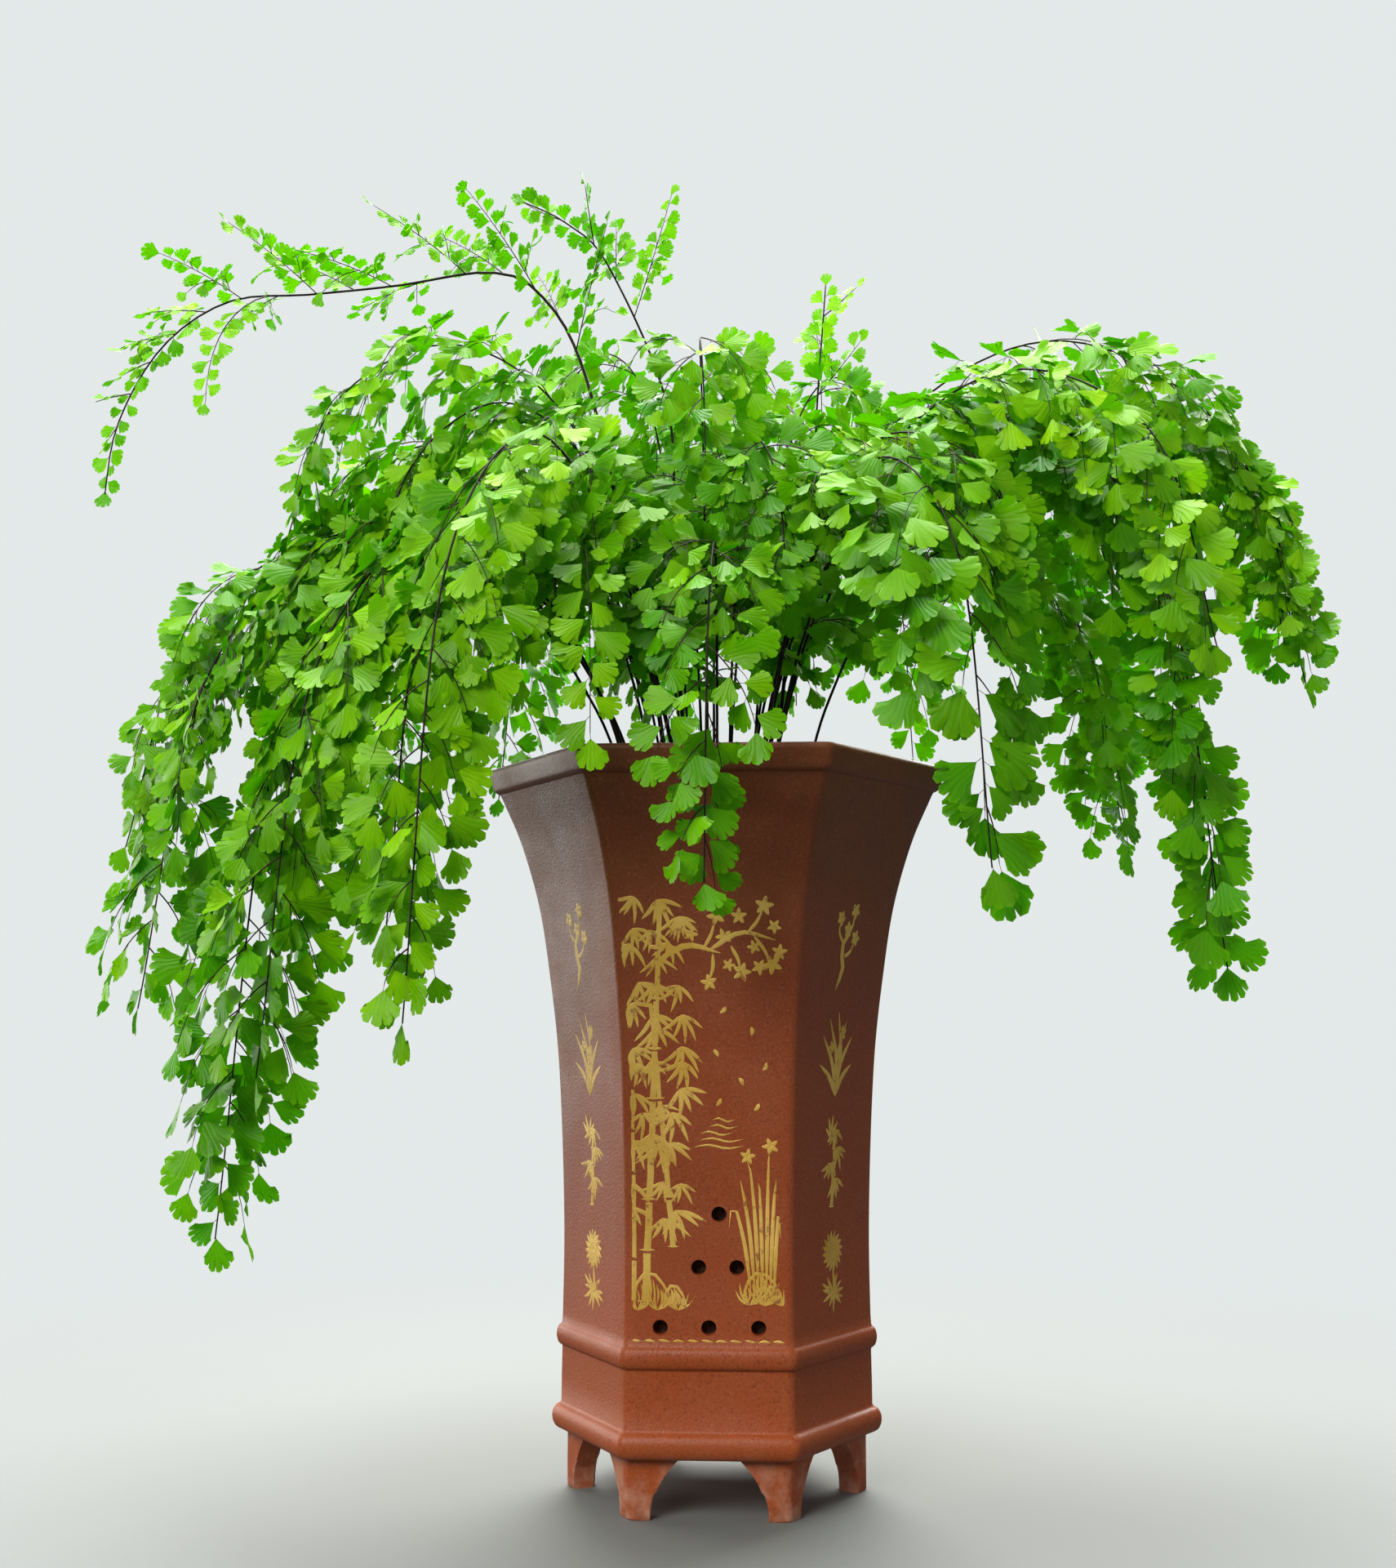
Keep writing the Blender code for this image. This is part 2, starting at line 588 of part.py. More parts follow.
def rib_box(start, end, grow):
    """A closed box round a stretch of rib between two of its frames, larger than it by grow."""
    points = []
    for (point, forward, across, normal), sign in ((start, -1), (end, 1)):
        middle = point + forward * sign * grow
        side = across * (RIB_WIDTH / 2 + grow)
        points += [middle + side + normal * grow, middle - side + normal * grow,
                   middle - side - normal * grow, middle + side - normal * grow]
    faces = [(0, 1, 2, 3), (4, 5, 6, 7)] + [(i, (i + 1) % 4, 4 + (i + 1) % 4, 4 + i) for i in range(4)]
    return BVHTree.FromPolygons([tuple(point) for point in points], faces)


def is_clear(shell, others):
    return not any(shell.overlap(other) for other in others)


def triangles(ring):
    """A ring of corners split into triangles that all meet at its first."""
    return [(ring[0], ring[i], ring[i + 1]) for i in range(1, len(ring) - 1)]


def plan_blade(path, length, leaf, pairs, roll, own, others, draw):
    """One thin sheet: a narrow rib with paired fan leaflets and one at its end, as points and faces."""
    rib_end = 1 - leaf / length
    spacing = LEAF_SPACING * leaf / length
    half_base = LEAF_FOOT / length
    marks = [0.0]
    seats = [rib_end - LEAF_SEAT * leaf / length - spacing * pair for pair in reversed(range(pairs))]
    seats = [seat for seat in seats if seat > 3 * half_base]
    for seat in seats:
        marks += [seat - half_base, seat + half_base]
    marks.append(rib_end)
    frames = [blade_frame(path, share, roll) for share in marks]
    points = []
    for number, (point, forward, across, normal) in enumerate(frames):
        half = across * (RIB_WIDTH if number else RIB_ROOT) / 2
        points += [point + half, point - half]
    rib = [(2 * i, 2 * i + 1, 2 * i + 3, 2 * i + 2) for i in range(len(frames) - 1)]
    if not all(is_clear(rib_box(*pair, CLEAR), others) for pair in zip(frames, frames[1:])):
        return None
    faces = [triangle for ring in rib for triangle in triangles(ring)]
    leaves = []
    for number in range(len(seats)):
        row = 1 + 2 * number
        point, forward, across, normal = frames[row]
        for sign, rear, front in ((1, 2 * row, 2 * row + 2), (-1, 2 * row + 1, 2 * row + 3)):
            tilt = math.radians(draw.uniform(-LEAF_TILT, LEAF_TILT))
            reach = across * sign * math.cos(tilt) + normal * math.sin(tilt)
            base = (points[rear] + points[front]) / 2
            size = leaf * draw.uniform(*LEAF_SIZES)
            outer = fan(base, forward, reach, LEAF_ANGLE, SIDE_FAN, size)
            leaves.append((rear, front, outer, sign))
    last = len(frames) - 1
    point, forward, across, normal = frames[last]
    outer = fan(point, forward, across, 0, END_FAN, leaf)
    leaves.append((2 * last + 1, 2 * last, outer, -1))
    kept = []
    for rear, front, outer, sign in leaves:
        outline = [points[rear], *outer, points[front]]
        if is_clear(inflated(outline, CLEAR), others + own):
            kept.append((rear, front, outer, sign))
    if not kept:
        return None
    for rear, front, outer, sign in kept:
        ring = [rear, front] if sign > 0 else [front, rear]
        start = len(points)
        points += outer
        outer_ring = list(range(start, start + len(outer)))
        faces += triangles(ring + (outer_ring[::-1] if sign > 0 else outer_ring))
    return {"points": points, "faces": faces, "leaves": len(kept), "wanted": len(leaves)}


def best_blade(choices):
    """The candidate that keeps the most leaflets, the first of them where several do."""
    best = None
    for blade in choices:
        if blade and (best is None or blade["leaves"] > best["leaves"]):
            best = blade
        if best and best["leaves"] == best["wanted"]:
            break
    return best


def sheet_tree(blade):
    return BVHTree.FromPolygons([tuple(point) for point in blade["points"]], blade["faces"])


def mesh_tree(mesh):
    return BVHTree.FromPolygons([tuple(corner.co) for corner in mesh.vertices],
                                [tuple(face.vertices) for face in mesh.polygons])


def plan_frond(stalk, own_stalk, others, draw):
    """The frond's end spray and its side sprays, placed where they touch nothing else."""
    blades = []
    rolls = [math.radians(angle) for angle in BLADE_ROLLS]
    beyond = stalk["path"][int(stalk["end"] * (PATH_SAMPLES - 1)) + END_SKIP:]
    tip, before = stalk["wire"][-1], stalk["wire"][-2]
    inside = tip + unit(before - tip) * END_SUNK
    end_path = smooth_path([inside, tip, *beyond[::END_STRIDE], beyond[-1]], PATH_SAMPLES)
    end_length = np.linalg.norm(np.diff(end_path, axis=0), axis=1).sum()
    bias = math.radians(draw.uniform(-END_BIAS, END_BIAS))
    choices = (plan_blade(end_path, end_length, stalk["leaf"], END_PAIRS, bias + roll, [], others, draw)
               for roll in rolls)
    blades.append(best_blade(choices))
    low = stalk["bare"] + SPRAY_MARGIN[0]
    high = stalk["end"] - SPRAY_MARGIN[1]
    count = stalk["sprays"]
    for number in range(count):
        share = low + (high - low) * number / max(count - 1, 1)
        sign = 1 if number % 2 else -1
        bias = math.radians(draw.uniform(-SPRAY_BIAS, SPRAY_BIAS))
        own = [own_stalk] + [sheet_tree(blade) for blade in blades if blade]
        choices = []
        for turn in SPRAY_TURNS:
            path, length = spray_path(stalk, share, sign, turn)
            choices += [(path, length, bias + roll) for roll in rolls]
        blades.append(best_blade(
            plan_blade(path, length, stalk["leaf"], SPRAY_PAIRS, roll, own, others + own[1:], draw)
            for path, length, roll in choices))
    return [blade for blade in blades if blade]


def make_blade(name, blade, collection):
    """The sheet given its thickness, its triangles alike on both faces."""
    mesh = bpy.data.meshes.new(name)
    mesh.from_pydata([tuple(point) for point in blade["points"]], [], blade["faces"])
    thing = add_object(name, mesh, collection)
    thickness = thing.modifiers.new("thickness", "SOLIDIFY")
    thickness.thickness = BLADE
    thickness.offset = 0.0
    apply_modifiers(thing)
    return thing


def in_one_piece(shape):
    """True if each edge lies between two faces and every face is joined to the first."""
    if not all(len(edge.link_faces) == 2 for edge in shape.edges):
        return False
    shape.faces.ensure_lookup_table()
    met = {shape.faces[0]}
    waiting = [shape.faces[0]]
    while waiting:
        for edge in waiting.pop().edges:
            for face in edge.link_faces:
                if face not in met:
                    met.add(face)
                    waiting.append(face)
    return len(met) == len(shape.faces)


def least_height(shape):
    """The least height of the shape's triangles, or -1 where it isn't one closed body."""
    if not in_one_piece(shape):
        return -1.0
    return min(2 * face.calc_area() / max(edge.calc_length() for edge in face.edges) for face in shape.faces)


def split_cleanly(mesh):
    """Splits the mesh into triangles without slivers, and returns the least height of any."""
    best = -1.0
    for sliver in SLIVERS:
        for way in ("BEAUTY", "EAR_CLIP"):
            shape = bmesh.new()
            shape.from_mesh(mesh)
            bmesh.ops.dissolve_degenerate(shape, dist=sliver, edges=shape.edges)
            bmesh.ops.triangulate(shape, faces=shape.faces, ngon_method=way)
            bmesh.ops.remove_doubles(shape, verts=shape.verts, dist=SPLIT_WELD)
            height = least_height(shape)
            if height > best:
                best = height
                chosen = bpy.data.meshes.new(mesh.name)
                shape.to_mesh(chosen)
            shape.free()
    return best, chosen if best > 0.0 else mesh


def join_frond(stalk, blades, colours, parts):
    """One union of the stalk and its sprays, with the stalk's flats turned to where they meet best."""
    sprays = make_collection("sprays")
    for number, blade in enumerate(blades):
        leafy = make_blade(f"spray_{number}", blade, sprays)
        for colour in colours:
            leafy.data.materials.append(colour)
        leafy.data.polygons.foreach_set("material_index", [1] * len(leafy.data.polygons))
    best = -2.0
    for twist in STALK_TWISTS:
        tube = make_stalk(stalk, twist, parts)
        for colour in colours:
            tube.data.materials.append(colour)
        union = tube.modifiers.new("union", "BOOLEAN")
        union.operation = "UNION"
        union.operand_type = "COLLECTION"
        union.collection = sprays
        union.solver = "MANIFOLD"
        apply_modifiers(tube)
        height, mesh = split_cleanly(tube.data)
        bpy.data.objects.remove(tube, do_unlink=True)
        if height > best:
            best = height
            chosen = mesh
        if best > CLEAN_HEIGHT:
            break
    add_object(f"frond_{stalk['name']}", chosen, parts)
    for leafy in list(sprays.objects):
        bpy.data.objects.remove(leafy, do_unlink=True)
    bpy.data.collections.remove(sprays)


def make_fronds(stalks, planter, parts):
    draw = random.Random(SEED)
    colours = (make_material("stalk", *STALK), make_material("leaflets", *LEAF))
    tubes = [make_stalk(stalk, 0.0, parts) for stalk in stalks]
    tube_trees = [mesh_tree(tube.data) for tube in tubes]
    for tube in tubes:
        bpy.data.objects.remove(tube, do_unlink=True)
    placed = [mesh_tree(planter.data)]
    for index, stalk in enumerate(stalks):
        others = placed + [tree for number, tree in enumerate(tube_trees) if number != index]
        blades = plan_frond(stalk, tube_trees[index], others, draw)
        placed += [sheet_tree(blade) for blade in blades]
        join_frond(stalk, blades, colours, parts)


def main():
    clear_scene()
    parts = make_collection(OBJECT_NAME)
    planter_cutters = make_collection("planter_cutters")
    soil_cutters = make_collection("soil_cutters")
    stalks = plan_stalks()
    planter = make_planter(parts, planter_cutters)
    make_soil(stalks, parts, soil_cutters)
    make_fronds(stalks, planter, parts)
    for thing in parts.objects:
        thing.data.shade_smooth()
        thing.data.set_sharp_from_angle(angle=math.radians(SHARP_ANGLE))


main()
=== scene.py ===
# A maidenhair fern in a tall clay planter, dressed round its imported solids. Metres, +Z up.
import math

import bpy
import numpy as np
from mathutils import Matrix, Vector


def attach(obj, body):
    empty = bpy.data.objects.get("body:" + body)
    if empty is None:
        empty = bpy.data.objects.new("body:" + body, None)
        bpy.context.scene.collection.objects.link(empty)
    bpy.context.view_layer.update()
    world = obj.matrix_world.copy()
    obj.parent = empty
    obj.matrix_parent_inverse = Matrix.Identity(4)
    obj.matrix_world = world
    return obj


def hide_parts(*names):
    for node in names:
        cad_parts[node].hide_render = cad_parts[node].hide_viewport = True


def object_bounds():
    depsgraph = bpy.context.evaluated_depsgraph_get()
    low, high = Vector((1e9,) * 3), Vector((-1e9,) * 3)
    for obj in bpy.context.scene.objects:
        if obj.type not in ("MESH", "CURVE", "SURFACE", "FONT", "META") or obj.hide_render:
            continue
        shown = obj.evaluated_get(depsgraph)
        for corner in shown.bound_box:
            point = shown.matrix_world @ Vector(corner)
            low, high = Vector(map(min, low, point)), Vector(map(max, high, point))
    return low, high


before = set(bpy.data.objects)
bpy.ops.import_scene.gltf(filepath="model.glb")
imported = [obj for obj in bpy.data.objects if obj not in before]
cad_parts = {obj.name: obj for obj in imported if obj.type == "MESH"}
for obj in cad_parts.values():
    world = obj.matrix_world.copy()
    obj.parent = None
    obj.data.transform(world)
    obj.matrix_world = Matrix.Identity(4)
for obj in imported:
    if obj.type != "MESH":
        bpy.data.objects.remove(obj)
cadBox = [list(corner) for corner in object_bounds()]
boxLow, boxHigh = (np.array(corner) for corner in cadBox)
print("frame loaded:", len(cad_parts), "nodes")

upward = np.array([0.0, 0.0, 1.0])


# Camera and light

view = {"lens": 44.2, "place": (0.0417, -0.8246, 0.1995), "yaw": 3.42, "pitch": 6.48}

cameraData = bpy.data.cameras.new("camera")
cameraData.lens = view["lens"]
cameraData.sensor_width = 36.0
cameraData.clip_start = 0.01
camera = bpy.data.objects.new("camera", cameraData)
camera.location = view["place"]
camera.rotation_euler = (math.radians(90 + view["pitch"]), 0.0, math.radians(view["yaw"]))
bpy.context.scene.collection.objects.link(camera)
bpy.context.scene.camera = camera

lights = {
    "window": {"place": (-1.68, 1.08, 0.65), "size": (1.5, 1.3), "watts": 23, "colour": (1.0, 0.965, 0.89)},
    "room": {"place": (-0.85, -1.70, 1.45), "size": (1.2, 1.2), "watts": 39.5, "colour": (1.0, 0.98, 0.95)},
    "fill": {"place": (1.70, -0.90, 0.80), "size": (1.4, 1.2), "watts": 3.5, "colour": (1.0, 0.97, 0.92)},
    "back": {"place": (0.20, 1.50, 1.40), "size": (2.0, 1.2), "watts": 74, "colour": (1.0, 1.0, 0.94)},
    "top": {"place": (-0.20, 0.25, 1.90), "size": (1.2, 1.2), "watts": 62, "colour": (1.0, 1.0, 0.97)},
    "aim": (0.0, 0.0, 0.34),
    "sky": (0.93, 0.98, 0.97),
    "skyStrength": 0.14,
}


def areaLight(name, place, size, watts, colour):
    # a rectangular soft light whose -Z axis points from its place to the aim
    lamp = bpy.data.lights.new(name, "AREA")
    lamp.shape = "RECTANGLE"
    lamp.size, lamp.size_y = size
    lamp.energy = watts
    lamp.color = colour
    thing = bpy.data.objects.new(name, lamp)
    thing.location = place
    away = Vector(place) - Vector(lights["aim"])
    thing.rotation_euler = away.to_track_quat("Z", "Y").to_euler()
    bpy.context.scene.collection.objects.link(thing)


for lightName in ("window", "room", "fill", "back", "top"):
    areaLight(lightName, **lights[lightName])

world = bpy.data.worlds.new("sky")
world.use_nodes = True
worldShader = world.node_tree.nodes["Background"]
worldShader.inputs["Color"].default_value = (*lights["sky"], 1.0)
worldShader.inputs["Strength"].default_value = lights["skyStrength"]
bpy.context.scene.world = world
bpy.context.scene.view_settings.view_transform = "Standard"
print("camera and lights placed")


# Mesh helpers

def unit(vectors):
    # each vector divided by its own length
    return vectors / np.maximum(np.linalg.norm(vectors, axis=-1, keepdims=True), 1e-12)


def meshPiece(name, points, faces, materials, smooth=True, sharpAngle=None):
    # an object at the origin from an array of points and an array or list of corner numbers
    mesh = bpy.data.meshes.new(name)
    mesh.from_pydata(points, [], faces)
    for material in materials:
        mesh.materials.append(material)
    if smooth:
        mesh.shade_smooth()
    if sharpAngle:
        mesh.set_sharp_from_angle(angle=math.radians(sharpAngle))
    piece = bpy.data.objects.new(name, mesh)
    bpy.context.scene.collection.objects.link(piece)
    return piece


def gridFaces(rows, columns, closed=True):
    # quads between neighbouring rows and columns of a grid, the columns closed into a ring
    row = np.arange(rows - 1)[:, None] * columns
    column = np.arange(columns if closed else columns - 1)[None, :]
    after = (column + 1) % columns
    return np.stack([row + column, row + after, row + columns + after, row + columns + column], -1).reshape(-1, 4)


def pointValues(mesh, name, values):
    # a number for each point, kept as an attribute that the materials read
    layer = mesh.attributes.new(name, "FLOAT", "POINT")
    layer.data.foreach_set("value", np.asarray(values, np.float32))


def settle(piece, slot, *nodes):
    # the piece rides on the plant's one body and stands for the solids it replaces
    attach(piece, "root")
    if nodes:
        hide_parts(*nodes)
    return piece


def smoothPath(points, count, samples=24):
    # points evenly spaced along a Catmull-Rom curve through the given ones
    held = np.asarray(points, float)
    held = np.vstack([2 * held[0] - held[1], held, 2 * held[-1] - held[-2]])
    t = np.linspace(0, 1, samples, endpoint=False)[:, None]
    runs = []
    for a, b, c, d in zip(held, held[1:], held[2:], held[3:]):
        bend = (2 * a - 5 * b + 4 * c - d) * t ** 2 + (3 * b - a - 3 * c + d) * t ** 3
        runs.append(0.5 * (2 * b + (c - a) * t + bend))
    dense = np.vstack(runs + [held[-2:-1]])
    length = np.concatenate([[0], np.cumsum(np.linalg.norm(np.diff(dense, axis=0), axis=1))])
    at = np.linspace(0, length[-1], count)
    return np.column_stack([np.interp(at, length, dense[:, axis]) for axis in range(dense.shape[1])])


def alongPath(path, shares):
    # points and directions at shares of a path's length, between its evenly spaced samples
    at = np.clip(shares, 0.0, 1.0) * (len(path) - 1)
    low = np.minimum(at.astype(int), len(path) - 2)
    points = path[low] + (path[low + 1] - path[low]) * (at - low)[:, None]
    ahead = path[np.minimum(low + 2, len(path) - 1)] - path[np.maximum(low - 1, 0)]
    return points, unit(ahead)


def tubes(paths, radii, sides):
    # closed round tubes: circles of the given radii square to each path, in the path's own plane
    # and across it, with a pole at each end. paths is (tubes, samples, 3), radii is (tubes, samples)
    count, samples = radii.shape
    ahead = unit(np.gradient(paths, axis=1))
    chord = paths[:, -1] - paths[:, 0]
    plane = np.cross(chord, upward)
    flat = np.linalg.norm(plane, axis=1) < 0.15 * np.linalg.norm(chord, axis=1)
    plane[flat] = np.cross(chord[flat], [0.6, 0.8, 0.0])
    first = plane[:, None, :] - ahead * np.sum(plane[:, None, :] * ahead, -1, keepdims=True)
    first = unit(first)
    second = np.cross(ahead, first)
    turn = np.linspace(0, 2 * np.pi, sides, endpoint=False)
    ring = first[:, :, None] * np.cos(turn)[:, None] + second[:, :, None] * np.sin(turn)[:, None]
    skin = (paths[:, :, None] + ring * radii[:, :, None, None]).reshape(count, -1, 3)
    points = np.concatenate([skin, paths[:, :1], paths[:, -1:]], axis=1)
    quads = gridFaces(samples, sides)
    side = np.arange(sides)
    after = (side + 1) % sides
    top = (samples - 1) * sides
    firstCap = np.stack([after, side, np.full(sides, samples * sides)], -1)
    lastCap = np.stack([side + top, after + top, np.full(sides, samples * sides + 1)], -1)
    faces = np.concatenate([quads[:, [0, 1, 2]], quads[:, [0, 2, 3]], firstCap, lastCap])
    shift = np.arange(count)[:, None, None] * points.shape[1]
    return points.reshape(-1, 3), (faces[None] + shift).reshape(-1, 3)


# Shader helpers

def newMaterial(name, roughness, metallic=0.0):
    material = bpy.data.materials.new(name)
    material.use_nodes = True
    shader = material.node_tree.nodes["Principled BSDF"]
    shader.inputs["Roughness"].default_value = roughness
    shader.inputs["Metallic"].default_value = metallic
    return material, material.node_tree, shader


def addNode(tree, kind, settings=None, **values):
    # a node with its settings and its inputs' values; a value that is a socket is linked
    node = tree.nodes.new(kind)
    for name, value in (settings or {}).items():
        setattr(node, name, value)
    for name, value in values.items():
        socket = node.inputs[int(name[1:])] if name[0] == "i" and name[1:].isdigit() else node.inputs[name]
        if isinstance(value, bpy.types.NodeSocket):
            tree.links.new(value, socket)
        else:
            socket.default_value = value
    return node


def mixColours(tree, share, first, second, blend="MIX"):
    # first and second are colours or sockets, mixed by share
    node = tree.nodes.new("ShaderNodeMix")
    node.data_type = "RGBA"
    node.blend_type = blend
    for number, value in ((0, share), (6, first), (7, second)):
        if isinstance(value, bpy.types.NodeSocket):
            tree.links.new(value, node.inputs[number])
        elif number:
            node.inputs[number].default_value = (*value, 1.0)
        else:
            node.inputs[number].default_value = value
    return node.outputs[2]


def mapRange(tree, value, low, high, toLow=0.0, toHigh=1.0):
    node = addNode(tree, "ShaderNodeMapRange", {"interpolation_type": "SMOOTHSTEP"}, i0=value, i1=low, i2=high,
                   i3=toLow, i4=toHigh)
    return node.outputs[0]


def noise(tree, where, scale, detail=3.0, roughness=0.5):
    return addNode(tree, "ShaderNodeTexNoise", None, Vector=where, Scale=scale, Detail=detail,
                   Roughness=roughness).outputs["Fac"]


def grainGroup():
    # fired clay's grain: fine pits and a coarser mottle, put out as a mask, a height and a normal
    group = bpy.data.node_groups.new("clayGrain", "ShaderNodeTree")
    for name, kind in (("Place", "NodeSocketVector"), ("Fine", "NodeSocketFloat"), ("Depth", "NodeSocketFloat")):
        group.interface.new_socket(name, in_out="INPUT", socket_type=kind)
    for name, kind in (("Mottle", "NodeSocketFloat"), ("Pits", "NodeSocketFloat"), ("Normal", "NodeSocketVector")):
        group.interface.new_socket(name, in_out="OUTPUT", socket_type=kind)
    given = group.nodes.new("NodeGroupInput")
    result = group.nodes.new("NodeGroupOutput")
    place, fine, depth = given.outputs["Place"], given.outputs["Fine"], given.outputs["Depth"]
    pits = noise(group, place, fine, 2.0, 0.6)
    mottle = noise(group, place, 38.0, 4.0, 0.6)
    soft = addNode(group, "ShaderNodeMath", {"operation": "MULTIPLY_ADD"}, i0=mottle, i1=0.8, i2=pits).outputs[0]
    bump = addNode(group, "ShaderNodeBump", None, Strength=depth, Distance=0.0006, Height=soft)
    group.links.new(mottle, result.inputs["Mottle"])
    group.links.new(pits, result.inputs["Pits"])
    group.links.new(bump.outputs["Normal"], result.inputs["Normal"])
    return group


clayGrain = grainGroup()


def useGrain(tree, place, fine, depth):
    node = tree.nodes.new("ShaderNodeGroup")
    node.node_tree = clayGrain
    tree.links.new(place, node.inputs["Place"])
    node.inputs["Fine"].default_value = fine
    node.inputs["Depth"].default_value = depth
    return node


def objectPlace(tree):
    return tree.nodes.new("ShaderNodeTexCoord").outputs["Object"]


# Planter: (corner radius, height) down the outside, as on the solid, drawn as smooth curves

planter = {
    "rim": ((0.0903, 0.2965), (0.0906, 0.2988), (0.0922, 0.2999), (0.0950, 0.3000), (0.0977, 0.2999),
            (0.0991, 0.2986), (0.0990, 0.2970), (0.0975, 0.2925), (0.0966, 0.2903), (0.0953, 0.2893),
            (0.0942, 0.2889)),
    "flare": ((0.0931, 0.2868), (0.0845, 0.2670), (0.0766, 0.2400), (0.0717, 0.2100), (0.0681, 0.1800),
              (0.0660, 0.1450), (0.0648, 0.1050), (0.0651, 0.0710), (0.0654, 0.0665)),
    "upperBead": ((0.0660, 0.0657), (0.0671, 0.0647), (0.0677, 0.0617), (0.0671, 0.0587), (0.0661, 0.0576),
                  (0.0653, 0.0571)),
    "drum": ((0.0652, 0.0562), (0.0654, 0.0450), (0.0655, 0.0345)),
    "lowerBead": ((0.0660, 0.0336), (0.0680, 0.0324), (0.0692, 0.0300), (0.0692, 0.0272), (0.0682, 0.0248),
                  (0.0666, 0.0236), (0.0645, 0.0235)),
    "footRadius": 0.0627, "footWall": 0.0090, "footHeight": 0.0235, "wall": 0.0060, "floorTop": 0.0330,
    "corner": 0.0042, "innerCorner": 0.0020, "arcSteps": 5, "edgeSteps": 6,
    "archWide": 0.0232, "archNarrow": 0.0120, "archHeight": 0.0230, "archCusp": 0.0014, "cuspHeight": 0.0100,
    "drainRadius": 0.0030, "drainFaces": (270, 30, 150),
    "drainHoles": ((0.0040, 0.1170), (-0.0040, 0.0965), (0.0110, 0.0965),
                   (-0.0190, 0.0735), (0.0000, 0.0735), (0.0195, 0.0735)),
}
half = math.cos(math.pi / 6)
flareCurve = smoothPath(planter["flare"], 60)


def skin(height):
    # distance from the axis to the middle of a face at a height on the flared body
    order = np.argsort(flareCurve[:, 1])
    return np.interp(height, flareCurve[order, 1], flareCurve[order, 0]) * half


def hexRings(radii, roundings):
    # rings of points round a hexagon with each corner rounded by an arc: for each corner, an arc
    # about a centre set in along the corner's own direction, then points along the next edge
    arcs = planter["arcSteps"]
    edges = planter["edgeSteps"]
    corner = np.radians(np.arange(6) * 60.0)[None, :, None]
    turn = np.radians(np.linspace(-30, 30, arcs + 1))[None, None, :] + corner
    centre = (radii - roundings / half)[:, None, None]
    x = centre * np.cos(corner) + roundings[:, None, None] * np.cos(turn)
    y = centre * np.sin(corner) + roundings[:, None, None] * np.sin(turn)
    share = (np.arange(1, edges) / edges)[None, None, :]
    nextX, nextY = np.roll(x[:, :, 0], -1, 1)[..., None], np.roll(y[:, :, 0], -1, 1)[..., None]
    x = np.concatenate([x, x[:, :, -1:] * (1 - share) + nextX * share], axis=2)
    y = np.concatenate([y, y[:, :, -1:] * (1 - share) + nextY * share], axis=2)
    return x.reshape(len(radii), -1), y.reshape(len(radii), -1)


def planterSkin():
    # the profile carried round the hexagon: up the inside, over the rim, down the outside to the
    # feet, back up their inside and to the middle of the underside, with a pole at each end
    p = planter
    inner = flareCurve[::-1][6::6]
    inner = inner[inner[:, 1] < 0.280] - np.array([p["wall"] / half, 0.0])
    outside = np.vstack([smoothPath(p["rim"], 26), flareCurve, smoothPath(p["upperBead"], 12),
                         p["drum"], smoothPath(p["lowerBead"], 16)])
    footInner = p["footRadius"] - p["footWall"] / half
    feet = [(p["footRadius"], z) for z in (0.0233, 0.0180, 0.0120, 0.0060, 0.0007)]
    feet += [(p["footRadius"] - 0.0006, 0.0), (footInner + 0.0006, 0.0), (footInner, 0.0007),
             (footInner, p["footHeight"])]
    profile = np.vstack([[(inner[0, 0] * 0.5, p["floorTop"]), (inner[0, 0], p["floorTop"])], inner,
                         outside, feet, [(footInner * 0.5, p["footHeight"])]])
    outer = np.zeros(len(profile), bool)
    outer[2 + len(inner):2 + len(inner) + len(outside) + 6] = True
    rounding = np.where(outer, p["corner"], p["innerCorner"])
    x, y = hexRings(profile[:, 0], rounding)
    rows, columns = x.shape
    points = np.stack([x, y, np.repeat(profile[:, 1:2], columns, axis=1)], -1).reshape(-1, 3)
    points = np.vstack([points, [[0, 0, p["floorTop"]], [0, 0, p["footHeight"]]]])
    faces = gridFaces(rows, columns)[:, [0, 3, 2, 1]]
    column = np.arange(columns)
    after = (column + 1) % columns
    lid = np.stack([np.full(columns, rows * columns), column, after], -1)
    under = np.stack([np.full(columns, rows * columns + 1), after + (rows - 1) * columns,
                      column + (rows - 1) * columns], -1)
    return points, faces.tolist() + lid.tolist() + under.tolist()


def cutterPiece(name, outline, low, high, face, middle):
    # a prism: an outline of (across, up) carried from low to high along a face's outward normal
    turn = math.radians(face)
    normal = np.array([math.cos(turn), math.sin(turn), 0.0])
    side = np.array([-math.sin(turn), math.cos(turn), 0.0])
    flat = side * (outline[:, :1] + middle[0]) + upward * (outline[:, 1:] + middle[1])
    points = np.vstack([flat + normal * low, flat + normal * high])
    count = len(outline)
    index = np.arange(count)
    after = (index + 1) % count
    walls = np.stack([index, after, after + count, index + count], -1).tolist()
    return meshPiece(name, points, walls + [index[::-1].tolist(), (index + count).tolist()], [], smooth=False)


